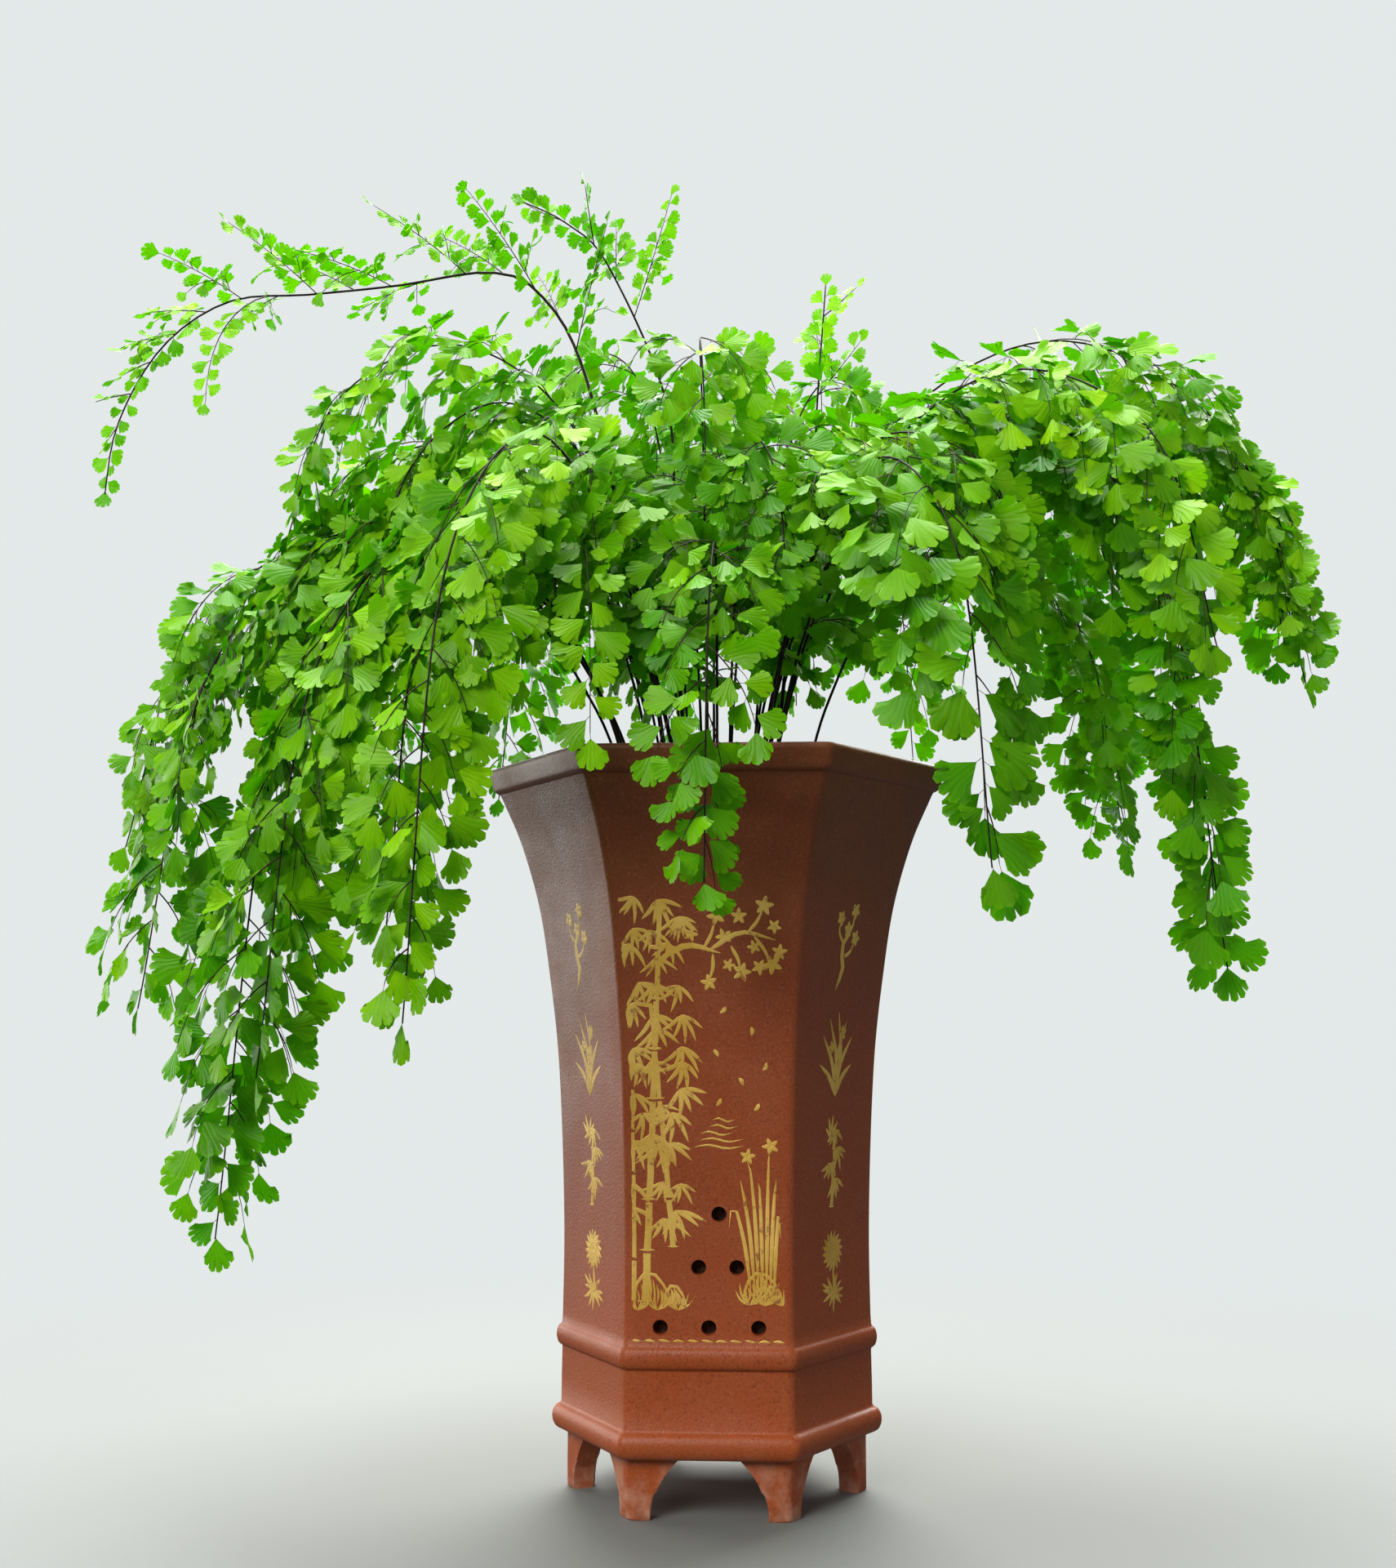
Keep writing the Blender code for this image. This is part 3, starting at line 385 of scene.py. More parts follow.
def archOutline():
    # half the arch's width falls with height as a power, and steps in by a cusp at mid height
    p = planter
    up = np.linspace(0, 1, 15)
    narrowing = p["archNarrow"] + (p["archWide"] - p["archNarrow"]) * (1 - up ** 2.3)
    cusp = p["archCusp"] * np.clip((up * p["archHeight"] - p["cuspHeight"]) / 0.0008, 0, 1) * (1 - up)
    across = np.concatenate([[p["archWide"]], narrowing - cusp])
    height = np.concatenate([[-0.004], up * p["archHeight"]])
    right = np.column_stack([across, height])
    return np.vstack([right, right[::-1] * np.array([-1, 1])])


def cutAway(body, cutters):
    # the cutters taken out of the body by one exact Boolean, applied, and removed
    held = bpy.data.collections.new("cutters")
    bpy.context.scene.collection.children.link(held)
    for cutter in cutters:
        bpy.context.scene.collection.objects.unlink(cutter)
        held.objects.link(cutter)
    tool = body.modifiers.new("cut", "BOOLEAN")
    tool.operand_type = "COLLECTION"
    tool.collection = held
    tool.solver = "EXACT"
    bpy.context.view_layer.update()
    graph = bpy.context.evaluated_depsgraph_get()
    cut = bpy.data.meshes.new_from_object(body.evaluated_get(graph), depsgraph=graph)
    body.modifiers.clear()
    body.data = cut
    for cutter in cutters:
        bpy.data.objects.remove(cutter)
    bpy.data.collections.remove(held)
    return body


def clayMaterial():
    # unglazed red clay, orange at the foot and darker brown towards the rim, partly its own tone and partly
    # painted shade of the foliage above, with a fine even grain, paler specks, dust on the feet and a soft polish
    material, tree, shader = newMaterial("firedClay", 0.42)
    place = objectPlace(tree)
    height = addNode(tree, "ShaderNodeSeparateXYZ", None, Vector=place).outputs["Z"]
    grain = useGrain(tree, place, 1000.0, 0.26)
    # painted shade: the colour darkens from the foot up to the rim, partly the clay's own tone and partly the shade
    # that the foliage and rim cast on the flare's top
    colour = mixColours(tree, mapRange(tree, height, 0.02, 0.15), (0.425, 0.081, 0.015), (0.335, 0.064, 0.015))
    colour = mixColours(tree, mapRange(tree, height, 0.14, 0.29), colour, (0.205, 0.047, 0.014))
    mottle = mapRange(tree, grain.outputs["Mottle"], 0.30, 0.75, 0.0, 0.22)
    colour = mixColours(tree, mottle, colour, (0.420, 0.120, 0.045))
    specks = mapRange(tree, grain.outputs["Pits"], 0.54, 0.78, 0.0, 0.42)
    colour = mixColours(tree, specks, colour, (0.480, 0.180, 0.085))
    pores = mapRange(tree, grain.outputs["Pits"], 0.46, 0.26, 0.0, 0.55)
    colour = mixColours(tree, pores, colour, (0.100, 0.024, 0.009))
    dust = mapRange(tree, noise(tree, place, 75.0, 4.0, 0.6), 0.40, 0.62, 0.0, 0.62)
    low = mapRange(tree, height, 0.030, 0.008)
    dust = addNode(tree, "ShaderNodeMath", {"operation": "MULTIPLY"}, i0=dust, i1=low).outputs[0]
    colour = mixColours(tree, dust, colour, (0.620, 0.330, 0.220))
    tree.links.new(colour, shader.inputs["Base Color"])
    rough = mapRange(tree, grain.outputs["Mottle"], 0.3, 0.7, 0.38, 0.50)
    tree.links.new(rough, shader.inputs["Roughness"])
    tree.links.new(grain.outputs["Normal"], shader.inputs["Normal"])
    shader.inputs["Specular IOR Level"].default_value = 0.42
    return material


clay = clayMaterial()
planterPoints, planterFaces = planterSkin()
body = meshPiece("planter_clay", planterPoints, planterFaces, [clay])
cutters = [cutterPiece(f"arch_{turn}", archOutline(), -0.08, 0.08, turn + 30, (0.0, 0.0)) for turn in (0, 60, 120)]
drainTurn = np.linspace(0, 2 * np.pi, 20, endpoint=False)
drainCircle = planter["drainRadius"] * np.column_stack([np.cos(drainTurn), np.sin(drainTurn)])
for face in planter["drainFaces"]:
    for number, hole in enumerate(planter["drainHoles"]):
        cutters.append(cutterPiece(f"drain_{face}_{number}", drainCircle, 0.045, 0.070, face, hole))
cutAway(body, cutters)
body.data.shade_smooth()
body.data.set_sharp_from_angle(angle=math.radians(38))
settle(body, "clay", "planter")
print("planter made:", len(body.data.polygons), "faces")


# Stalks: the same rules as the solids, so that every frond rises and hangs where its solid does

crown = {"soilTop": 0.277, "rootDepth": 0.012, "inside": 0.008, "outside": 0.040, "high": 0.500, "low": 0.380,
         "scatter": 0.2, "golden": 0.6180339887, "spacing": 0.0055, "rounds": 200, "fade": 3, "start": 0.002,
         "clearance": 0.0034, "nudge": 12, "samples": 120, "segments": 8, "archEnd": 0.74}

# azimuth, reach, peak, tip, sweep, bare share, side branch, leaflet size, tint from deep to yellow green
arches = {
    "left_high": (188, 0.184, 0.480, 0.392, -6, 0.30, 0.075, 0.0127, 0.50),
    "left_shoulder": (172, 0.205, 0.450, 0.332, 6, 0.36, 0.080, 0.0127, 0.95),
    "left_outer": (180, 0.254, 0.406, 0.262, 4, 0.42, 0.085, 0.0138, 0.40),
    "left_curtain_a": (190, 0.238, 0.396, 0.193, 5, 0.35, 0.080, 0.0146, 0.35),
    "left_curtain_b": (203, 0.208, 0.390, 0.106, 4, 0.30, 0.070, 0.0157, 0.30),
    "left_curtain_c": (211, 0.204, 0.388, 0.168, 6, 0.20, 0.080, 0.0150, 0.42),
    "left_fore": (224, 0.176, 0.404, 0.220, 6, 0.16, 0.075, 0.0146, 0.42),
    "left_inner": (196, 0.150, 0.454, 0.345, -6, 0.16, 0.070, 0.0127, 0.70),
    "left_back_a": (160, 0.205, 0.452, 0.315, 6, 0.35, 0.080, 0.0130, 0.45),
    "left_back_b": (148, 0.200, 0.438, 0.275, 6, 0.35, 0.078, 0.0134, 0.35),
    "right_high": (9, 0.224, 0.480, 0.405, 4, 0.33, 0.080, 0.0138, 0.40),
    "right_outer": (-1, 0.257, 0.488, 0.332, 4, 0.50, 0.082, 0.0150, 0.45),
    "right_curtain": (-12, 0.212, 0.450, 0.208, -4, 0.43, 0.060, 0.0174, 0.25),
    "right_fore": (-20, 0.218, 0.458, 0.330, -6, 0.28, 0.080, 0.0154, 0.62),
    "right_near": (-53, 0.190, 0.408, 0.242, -4, 0.44, 0.050, 0.0192, 0.30),
    "right_inner": (-10, 0.170, 0.456, 0.375, 5, 0.20, 0.075, 0.0131, 0.35),
    "right_back_a": (18, 0.262, 0.468, 0.350, -4, 0.37, 0.082, 0.0142, 0.50),
    "right_back_b": (32, 0.212, 0.450, 0.300, -6, 0.36, 0.080, 0.0137, 0.40),
    "right_low": (4, 0.182, 0.400, 0.268, 6, 0.50, 0.060, 0.0132, 0.45),
    "crown_left": (146, 0.090, 0.496, 0.450, 8, 0.28, 0.062, 0.0123, 0.40),
    "crown_mid": (96, 0.066, 0.492, 0.450, -10, 0.30, 0.062, 0.0123, 0.35),
    "crown_right": (24, 0.088, 0.482, 0.436, 8, 0.27, 0.055, 0.0123, 0.50),
    "crown_front": (262, 0.074, 0.474, 0.412, 8, 0.20, 0.060, 0.0127, 0.40),
    "crown_fore": (286, 0.088, 0.428, 0.352, 6, 0.18, 0.058, 0.0123, 0.35),
    "front_left": (234, 0.190, 0.420, 0.188, 4, 0.15, 0.052, 0.0157, 0.55),
    "front_mid": (274, 0.130, 0.378, 0.240, -3, 0.36, 0.036, 0.0137, 0.25),
    "front_right": (312, 0.165, 0.424, 0.335, 4, 0.22, 0.064, 0.0137, 0.35),
    "back_right": (56, 0.194, 0.446, 0.322, 5, 0.35, 0.080, 0.0141, 0.40),
    "back_mid_right": (73, 0.176, 0.470, 0.350, 6, 0.32, 0.076, 0.0137, 0.50),
    "back_mid_left": (107, 0.172, 0.466, 0.338, -6, 0.32, 0.074, 0.0137, 0.35),
    "back_left": (123, 0.195, 0.442, 0.300, 5, 0.35, 0.080, 0.0141, 0.45),
}
archRise = ((0.09, 0.42), (0.28, 0.84))
archPeak = 0.58
archHang = (0.88, 0.30)

# azimuth, root radius, bare share, side branch, leaflet size, droop, end share, tint, (reach, height) points
loose = {
    "loose_long": (187, 0.012, 0.40, 0.056, 0.0080, 0.20, 0.87, 0.55, (
        (0.036, 0.385), (0.058, 0.476), (0.078, 0.511), (0.100, 0.520), (0.140, 0.513),
        (0.178, 0.508), (0.213, 0.504), (0.241, 0.483), (0.259, 0.448), (0.264, 0.412))),
    "loose_tall": (206, 0.012, 0.72, 0.056, 0.0078, -0.30, 0.90, 0.55, (
        (0.020, 0.380), (0.022, 0.455), (0.050, 0.517), (0.070, 0.534), (0.092, 0.541))),
    "young": (18, 0.026, 0.60, 0.036, 0.0080, -0.10, 0.84, 0.90, (
        (0.032, 0.345), (0.045, 0.405), (0.047, 0.460), (0.052, 0.524))),
}


def rootRadius(index, peak):
    # high arches rise near the middle of the crown, low ones further out, with a little scatter
    low = np.clip((crown["high"] - peak) / (crown["high"] - crown["low"]), 0.0, 1.0)
    place = low * (1 - crown["scatter"]) + crown["scatter"] * ((index * crown["golden"]) % 1.0)
    return crown["inside"] + (crown["outside"] - crown["inside"]) * place


def spreadRoots(azimuths, radii):
    # places where the stalks leave the soil, pushed apart in turn until each has room
    turns = np.radians(azimuths)
    radii = np.array(radii)
    roots = np.column_stack([radii * np.cos(turns), radii * np.sin(turns)])
    for _ in range(crown["rounds"]):
        for i in range(len(roots)):
            for j in range(i):
                apart = roots[i] - roots[j]
                distance = max(np.linalg.norm(apart), 0.00001)
                if distance < crown["spacing"]:
                    push = apart / distance * (crown["spacing"] - distance) * 0.5
                    roots[i] += push
                    roots[j] -= push
    return roots


def archPoints(root, reach, peak, tip):
    # (reach, height) points: up from the root, over the peak and down to the tip
    rise = peak - crown["soilTop"]
    span = reach - root
    points = [(root + along * span, crown["soilTop"] + up * rise) for along, up in archRise]
    points.append((root + archPeak * span, peak))
    points.append((root + archHang[0] * span, peak - archHang[1] * (peak - tip)))
    points.append((reach, tip))
    return points


def stalkPath(root, nominal, azimuth, sweep, points):
    # the profile turned to its azimuth and swept sideways with the square of its reach, its foot
    # moved to the root by a shift that fades along the stalk
    profile = smoothPath([(nominal, crown["soilTop"] + crown["start"]), *points], crown["samples"])
    turn = np.radians(azimuth + sweep * (profile[:, 0] / points[-1][0]) ** 2)
    path = np.column_stack([profile[:, 0] * np.cos(turn), profile[:, 0] * np.sin(turn), profile[:, 1]])
    fade = (1 - np.linspace(0, 1, crown["samples"])) ** crown["fade"]
    path[:, :2] += np.outer(fade, root - path[0, :2])
    return path


def straightRuns(path, end):
    # the corners of the solid's stalk, which the spacing of the stalks is measured on
    foot = np.array([[path[0][0], path[0][1], crown["soilTop"] - crown["rootDepth"]]])
    return np.vstack([foot, alongPath(path, np.linspace(0, end, crown["segments"] + 1))[0]])


def nearest(wire, other):
    # least distance between two stalks, from points close together along their straight runs
    places = np.linspace(0, len(wire) - 1, 160)
    runs = [np.column_stack([np.interp(places, range(len(line)), line[:, axis]) for axis in range(3)])
            for line in (wire, other)]
    return np.linalg.norm(runs[0][:, None, :] - runs[1][None, :, :], axis=2).min()


def planStalks():
    # every frond's stalk, each turned a little where it would touch an earlier one
    rows = []
    for name, (azimuth, radius, bare, branch, leaf, droop, end, tint, points) in loose.items():
        growth = {"name": name, "bare": bare, "branch": branch, "leaf": leaf, "droop": droop, "end": end,
                  "tint": tint}
        rows.append((growth, azimuth, 0.0, radius, list(points)))
    for name, (azimuth, reach, peak, tip, sweep, bare, branch, leaf, tint) in arches.items():
        radius = rootRadius(len(rows), peak)
        growth = {"name": name, "bare": bare, "branch": branch, "leaf": leaf, "droop": 0.75,
                  "end": crown["archEnd"], "tint": tint}
        rows.append((growth, azimuth, sweep, radius, archPoints(radius, reach, peak, tip)))
    roots = spreadRoots([row[1] for row in rows], [row[3] for row in rows])
    stalks = []
    for root, (growth, azimuth, sweep, radius, points) in zip(roots, rows):
        widest = -1.0
        for nudge in sorted(range(-crown["nudge"], crown["nudge"] + 1), key=abs):
            path = stalkPath(root, radius, azimuth + nudge, sweep, points)
            wire = straightRuns(path, growth["end"])
            room = min((nearest(wire, other["wire"]) for other in stalks), default=1.0)
            if room > widest:
                widest = room
                chosen = (path, wire)
            if widest > crown["clearance"]:
                break
        stalks.append({**growth, "path": chosen[0], "wire": chosen[1]})
    return stalks


# Twigs and leaflets

spray = {"start": (0.66, 0.76, 0.10), "turn": (-0.55, 0.20), "looseTurn": (-0.10, 0.90), "bend": 0.8,
         "taper": 0.85, "low": 0.85, "swell": 0.5, "tip": 0.012, "steps": 9, "gap": 0.0128,
         "looseGap": 0.0175, "margin": 0.03, "sideAt": (0.20, 0.38, 0.58), "sideLength": 0.46,
         "longEnough": 0.028, "thick": (0.00032, 0.00016), "sideThick": (0.00022, 0.00013),
         "drapeLeave": (0.35, 0.35, -0.20), "drapeDroop": 1.0}
# share of the stalk, length and side of the twigs that hang long, over the rim and in the open
drapes = {
    "loose_long": ((0.74, 0.066, -1),),
    "front_left": ((0.30, 0.118, 1), (0.36, 0.162, 1)),
    "left_fore": ((0.33, 0.140, -1), (0.41, 0.110, -1)),
    "left_curtain_c": ((0.30, 0.105, -1),),
}
leaflet = {"spacing": 0.45, "lean": 50, "leanSpread": 9, "tilt": 22, "roll": 38, "fan": 43, "fanSpread": 5,
           "endFan": 8, "lobes": 5, "slit": (0.13, 0.31), "shoulder": 0.052, "middle": 0.56, "wedge": 0.90,
           "thick": 0.018, "sizes": (0.76, 1.12), "stem": 0.16, "outward": 0.35, "upward": 0.45,
           "window": (-0.24, -0.56, 0.0), "strandTint": 0.17, "leafTint": 0.08}


def twigPath(start, ahead, side, length, droop, leave):
    # a twig that leaves sideways and bends towards the ground, its heading a mix of its first
    # direction and straight down that grows with the share of its length
    steps = spray["steps"]
    first = unit(ahead * leave[0] + side * leave[1] + upward * leave[2])
    pull = droop * ((np.arange(steps) + 0.5) / steps) ** spray["bend"]
    heading = unit(first * (1 - pull[:, None]) - np.outer(pull, upward))
    return start + np.vstack([np.zeros(3), np.cumsum(heading * length / steps, axis=0)])


def hexReach(points):
    # distance from the axis measured square to the nearest of the planter's six faces
    turn = np.radians(np.arange(6) * 60.0 + 30.0)
    return np.max(points[..., :1] * np.cos(turn) + points[..., 1:2] * np.sin(turn), axis=-1)


def hitsPlanter(points, room):
    # true for each point within room of the planter's outside, below its rim
    low = points[..., 2] < 0.302
    return low & (hexReach(points) < np.where(points[..., 2] > 0.286, 0.0862, skin(points[..., 2])) + room)


def outOfBounds(points, room):
    outside = np.any((points < boxLow + room) | (points > boxHigh - room), axis=-1)
    return outside | hitsPlanter(points, 0.001)


def leafRow(path, length, leaf, first, draw):
    # leaflets in turn on either side of a twig and one at its end: for each its foot, its axis, the
    # direction across it and its normal. The blades face outwards and up, with a common roll
    spacing = leaflet["spacing"] * leaf
    shares = np.arange(first, length - 0.35 * leaf, spacing) / length
    shares = np.append(shares + draw.uniform(-0.15, 0.15, len(shares)) * spacing / length, 1.0)
    feet, ahead = alongPath(path, shares)
    outward = unit(feet * np.array([1.0, 1.0, 0.0]) + 0.00001)
    facing = outward * leaflet["outward"] + upward * leaflet["upward"] + np.array(leaflet["window"])
    across = unit(np.cross(ahead, facing))
    roll = math.radians(draw.uniform(-leaflet["roll"], leaflet["roll"]))
    up = np.cross(across, ahead)
    across = across * math.cos(roll) + up * math.sin(roll)
    up = np.cross(across, ahead)
    sign = np.where((np.arange(len(shares)) + draw.integers(2)) % 2, 1.0, -1.0)
    lean = np.radians(leaflet["lean"] + draw.uniform(-1, 1, len(shares)) * leaflet["leanSpread"])
    lean[-1] = math.radians(draw.uniform(-12, 12))
    tilt = np.radians(draw.uniform(-1, 1, len(shares)) * leaflet["tilt"])
    reach = across * (sign * np.cos(tilt))[:, None] + up * np.sin(tilt)[:, None]
    axis = ahead * np.cos(lean)[:, None] + reach * np.sin(lean)[:, None]
    width = reach * np.cos(lean)[:, None] - ahead * np.sin(lean)[:, None]
    taper = 1.0 - 0.22 * np.clip(shares - 0.35, 0, 1)
    size = leaf * taper * draw.uniform(*leaflet["sizes"], len(shares))
    foot = feet + axis * (size * leaflet["stem"])[:, None]
    wide = np.zeros(len(shares))
    wide[-1] = leaflet["endFan"]
    strand = np.full(len(shares), draw.normal(0, leaflet["strandTint"]))
    return {"seat": feet, "foot": foot, "axis": axis, "across": width, "size": size, "wide": wide,
            "strand": strand}


def edgeShape(count, draw):
    # the outer margin of each fan leaflet, as a place across it from -1 to 1 and a share of its size.
    # Lobes lie side by side, each a low dome with a narrow slit before it, and the whole margin falls
    # away at the fan's two corners
    lobes = leaflet["lobes"]
    widths = draw.uniform(0.7, 1.3, (count, lobes))
    ends = np.cumsum(widths, axis=1) / widths.sum(axis=1, keepdims=True)
    starts = ends - widths / widths.sum(axis=1, keepdims=True)
    inLobe = np.array([0.0, 0.10, 0.50, 0.90])
    s = (starts[..., None] + (ends - starts)[..., None] * inLobe).reshape(count, -1)
    s = 2 * np.concatenate([s, np.ones((count, 1))], axis=1) - 1
    low, deep = leaflet["slit"]
    slits = low + (deep - low) * draw.random((count, lobes, 1)) ** 1.5
    shoulders = leaflet["shoulder"] * draw.uniform(0.7, 1.3, (count, lobes, 2))
    dome = np.concatenate([slits, shoulders[..., :1], np.zeros((count, lobes, 1)), shoulders[..., 1:]], axis=2)
    dome = np.concatenate([dome.reshape(count, -1), np.zeros((count, 1))], axis=1)
    dome[:, 0] = 0.0
    fall = draw.uniform(0.12, 0.32, (count, 1))
    skew = draw.uniform(-0.10, 0.10, (count, 1))
    return s, 1 - 0.10 * s ** 2 + skew * s - fall * np.abs(s) ** 4 - dome


def fanPoints(row, draw):
    # each leaflet's points: its foot, a middle row and a lobed outer row of a fan, bent and cupped,
    # then the middle row again on the underside. A point lies at its angle from the axis, at a share
    # of the size, and the middle row's angles are narrower, which draws the sides in to a wedge
    count = len(row["size"])
    spread = leaflet["fan"] + draw.uniform(-1, 1, (count, 1)) * leaflet["fanSpread"] + row["wide"][:, None]
    fan = np.radians(spread)
    s, outer = edgeShape(count, draw)
    between = s[:, ::4]
    cup = draw.uniform(-0.10, 0.22, (count, 1))
    bend = draw.uniform(-0.26, 0.06, (count, 1))
    phase = draw.uniform(0, 6.3, (count, 1))
    size = row["size"][:, None, None]
    normal = np.cross(row["axis"], row["across"])[:, None, :]

    def place(across, turn, radius, share):
        flat = row["axis"][:, None] * np.cos(turn)[..., None] + row["across"][:, None] * np.sin(turn)[..., None]
        lift = cup * across ** 2 * share + (bend + 0.05 * np.sin(4.2 * across + phase)) * share ** 2
        return row["foot"][:, None] + flat * radius[..., None] * size + normal * lift[..., None] * size

    m = leaflet["middle"]
    middle = place(between, between * fan * leaflet["wedge"], m * (1 - 0.10 * between ** 2), m)
    edge = place(s, s * fan, outer, 1.0)
    raised = normal * size * leaflet["thick"] * 0.5
    top = middle.copy()
    top[:, 1:-1] += raised
    under = middle[:, 1:-1] - raised
    return np.concatenate([row["foot"][:, None], top, edge, under], axis=1)


def fanFaces():
    # triangles of one leaflet: a fan from the foot to the middle row, and a band out to the edge,
    # which has four steps for each of the middle's. The underside is the same, turned over. Cells at
    # the sides fan from their inner corner, so that the two skins never meet flat
    n = leaflet["lobes"] + 1
    top = [(0, 1 + j, 2 + j) for j in range(n - 1)]
    for j in range(n - 1):
        a, b = 1 + j, 2 + j
        c, d, e, f, g = (1 + n + 4 * j + k for k in range(5))
        if j == 0:
            top += [(a, c, b), (b, c, d), (b, d, e), (b, e, f), (b, f, g)]
        elif j == n - 2:
            top += [(a, c, d), (a, d, e), (a, e, f), (a, f, g), (a, g, b)]
        else:
            top += [(a, c, d), (a, d, e), (a, e, b), (b, e, f), (b, f, g)]
    under = {1 + j: 5 * n - 3 + j for j in range(1, n - 1)}
    below = [tuple(under.get(corner, corner) for corner in reversed(face)) for face in top]
    return np.array(top + below)


def fanMaps():
    # for one leaflet's points: place across the fan and out from its foot, and which are on its rim
    n = leaflet["lobes"] + 1
    m = leaflet["middle"]
    middle, edge = np.linspace(0, 1, n), np.linspace(0, 1, 4 * n - 3)
    across = np.concatenate([[0.5], middle, edge, middle[1:-1]])
    out = np.concatenate([[0.0], np.full(n, m), np.ones(4 * n - 3), np.full(n - 2, m)])
    rim = np.zeros(len(out), bool)
    rim[[0, 1, n]] = True
    rim[n + 1:5 * n - 2] = True
    return across, out, rim


def leafPiece(name, rows, tint, draw):
    # all of a frond's leaflets as one mesh, with each leaflet's own tint and shade as attributes,
    # and sharp rims, so that each side is shaded by itself
    row = {key: np.concatenate([part[key] for part in rows]) for key in rows[0]}
    points = fanPoints(row, draw)
    clear = ~np.any(outOfBounds(points, 0.0004), axis=1)
    tints = np.clip(tint + row["strand"] + draw.normal(0, leaflet["leafTint"], len(points)), 0, 1)
    shades = draw.random(len(points))
    points, tints, shades = points[clear], tints[clear], shades[clear]
    row = {key: value[clear] for key, value in row.items()}
    count, each = points.shape[:2]
    faces = fanFaces()[None] + (np.arange(count) * each)[:, None, None]
    piece = meshPiece(name, points.reshape(-1, 3), faces.reshape(-1, 3), [leafMaterial])
    mesh = piece.data
    across, out, rim = fanMaps()
    pointValues(mesh, "tint", np.repeat(tints, each))
    pointValues(mesh, "shade", np.repeat(shades, each))
    corners = np.empty(len(mesh.loops), np.int32)
    mesh.loops.foreach_get("vertex_index", corners)
    flat = np.column_stack([across[corners % each], out[corners % each]])
    mesh.uv_layers.new(name="fan").data.foreach_set("uv", flat.astype(np.float32).ravel())
    ends = np.empty(2 * len(mesh.edges), np.int32)
    mesh.edges.foreach_get("vertices", ends)
    onRim = rim[ends.reshape(-1, 2) % each].all(axis=1)
    mesh.attributes.new("sharp_edge", "BOOLEAN", "EDGE").data.foreach_set("value", onRim)
    return piece, row


def growFrond(stalk, draw):
    # side twigs in turn down both sides of the stalk, the long ones with twigs of their own, and
    # the stalk's own end, each carrying a row of leaflets
    path, leaf = stalk["path"], stalk["leaf"]
    length = np.linalg.norm(np.diff(path, axis=0), axis=1).sum()
    small = stalk["name"] in loose
    count = int((1 - stalk["bare"]) * length / (spray["looseGap"] if small else spray["gap"]))
    shares = np.linspace(stalk["bare"] + spray["margin"], 0.93, count)
    twigs = []
    rows = []
    starts, aheads = alongPath(path, shares)
    for number in range(count):
        along = (shares[number] - stalk["bare"]) / (1 - stalk["bare"])
        sign = 1 if number % 2 else -1
        ahead = aheads[number]
        side = np.cross(ahead, upward)
        if np.linalg.norm(side) < 0.2:
            lean = (0.0, 0.1, 0.0) if ahead[2] > 0 else (0.1, 0.0, 0.0)
            side = np.cross(ahead, ahead * (1, 1, 0) + lean)
        side = unit(side) * sign
        up = np.cross(side, ahead) * sign
        turn = draw.uniform(*spray["looseTurn" if small else "turn"])
        side = side * math.cos(turn) + up * math.sin(turn)
        reach = stalk["branch"] * (1 - along) ** spray["taper"] * (spray["low"] + spray["swell"] * along)
        reach = (reach + spray["tip"]) * draw.uniform(0.82, 1.06)
        for _ in range(7):
            twig = twigPath(starts[number], ahead, side, reach, stalk["droop"], spray["start"])
            if not outOfBounds(twig, leaf * 0.75).any():
                break
            reach *= 0.78
        if reach < 0.9 * leaf:
            continue
        twigs.append((twig, *spray["thick"]))
        rows.append(leafRow(twig, reach, leaf, 0.5 * leaf, draw))
        if reach < spray["longEnough"]:
            continue
        for order, share in enumerate(spray["sideAt"]):
            at, on = alongPath(twig, np.array([share + draw.uniform(-0.05, 0.05)]))
            flat = unit(np.cross(on[0], upward * 0.8 + unit(at[0] * np.array([1.0, 1.0, 0.0])) * 0.6))
            flat = flat * (1 if (order + number) % 2 else -1)
            short = spray["sideLength"] * reach * (1 - share) * draw.uniform(0.8, 1.2)
            if short < 0.8 * leaf:
                continue
            sideTwig = twigPath(at[0], on[0], flat, short, 0.55, (0.75, 0.65, 0.05))
            if outOfBounds(sideTwig, leaf * 0.5).any():
                continue
            twigs.append((sideTwig, *spray["sideThick"]))
            rows.append(leafRow(sideTwig, short, leaf * 0.92, 0.45 * leaf, draw))
    for share, reach, sign in drapes.get(stalk["name"], ()):
        at, on = alongPath(path, np.array([share]))
        side = unit(np.cross(on[0], upward)) * sign
        drape = twigPath(at[0], on[0], side, reach, spray["drapeDroop"], spray["drapeLeave"])
        twigs.append((drape, *spray["thick"]))
        rows.append(leafRow(drape, reach, leaf, leaf, draw))
    tail =alongPath(path, np.linspace(0.80, 0.985, 30))[0]
    rows.append(leafRow(tail, 0.185 * length, leaf, 0.2 * leaf, draw))
    return twigs, rows


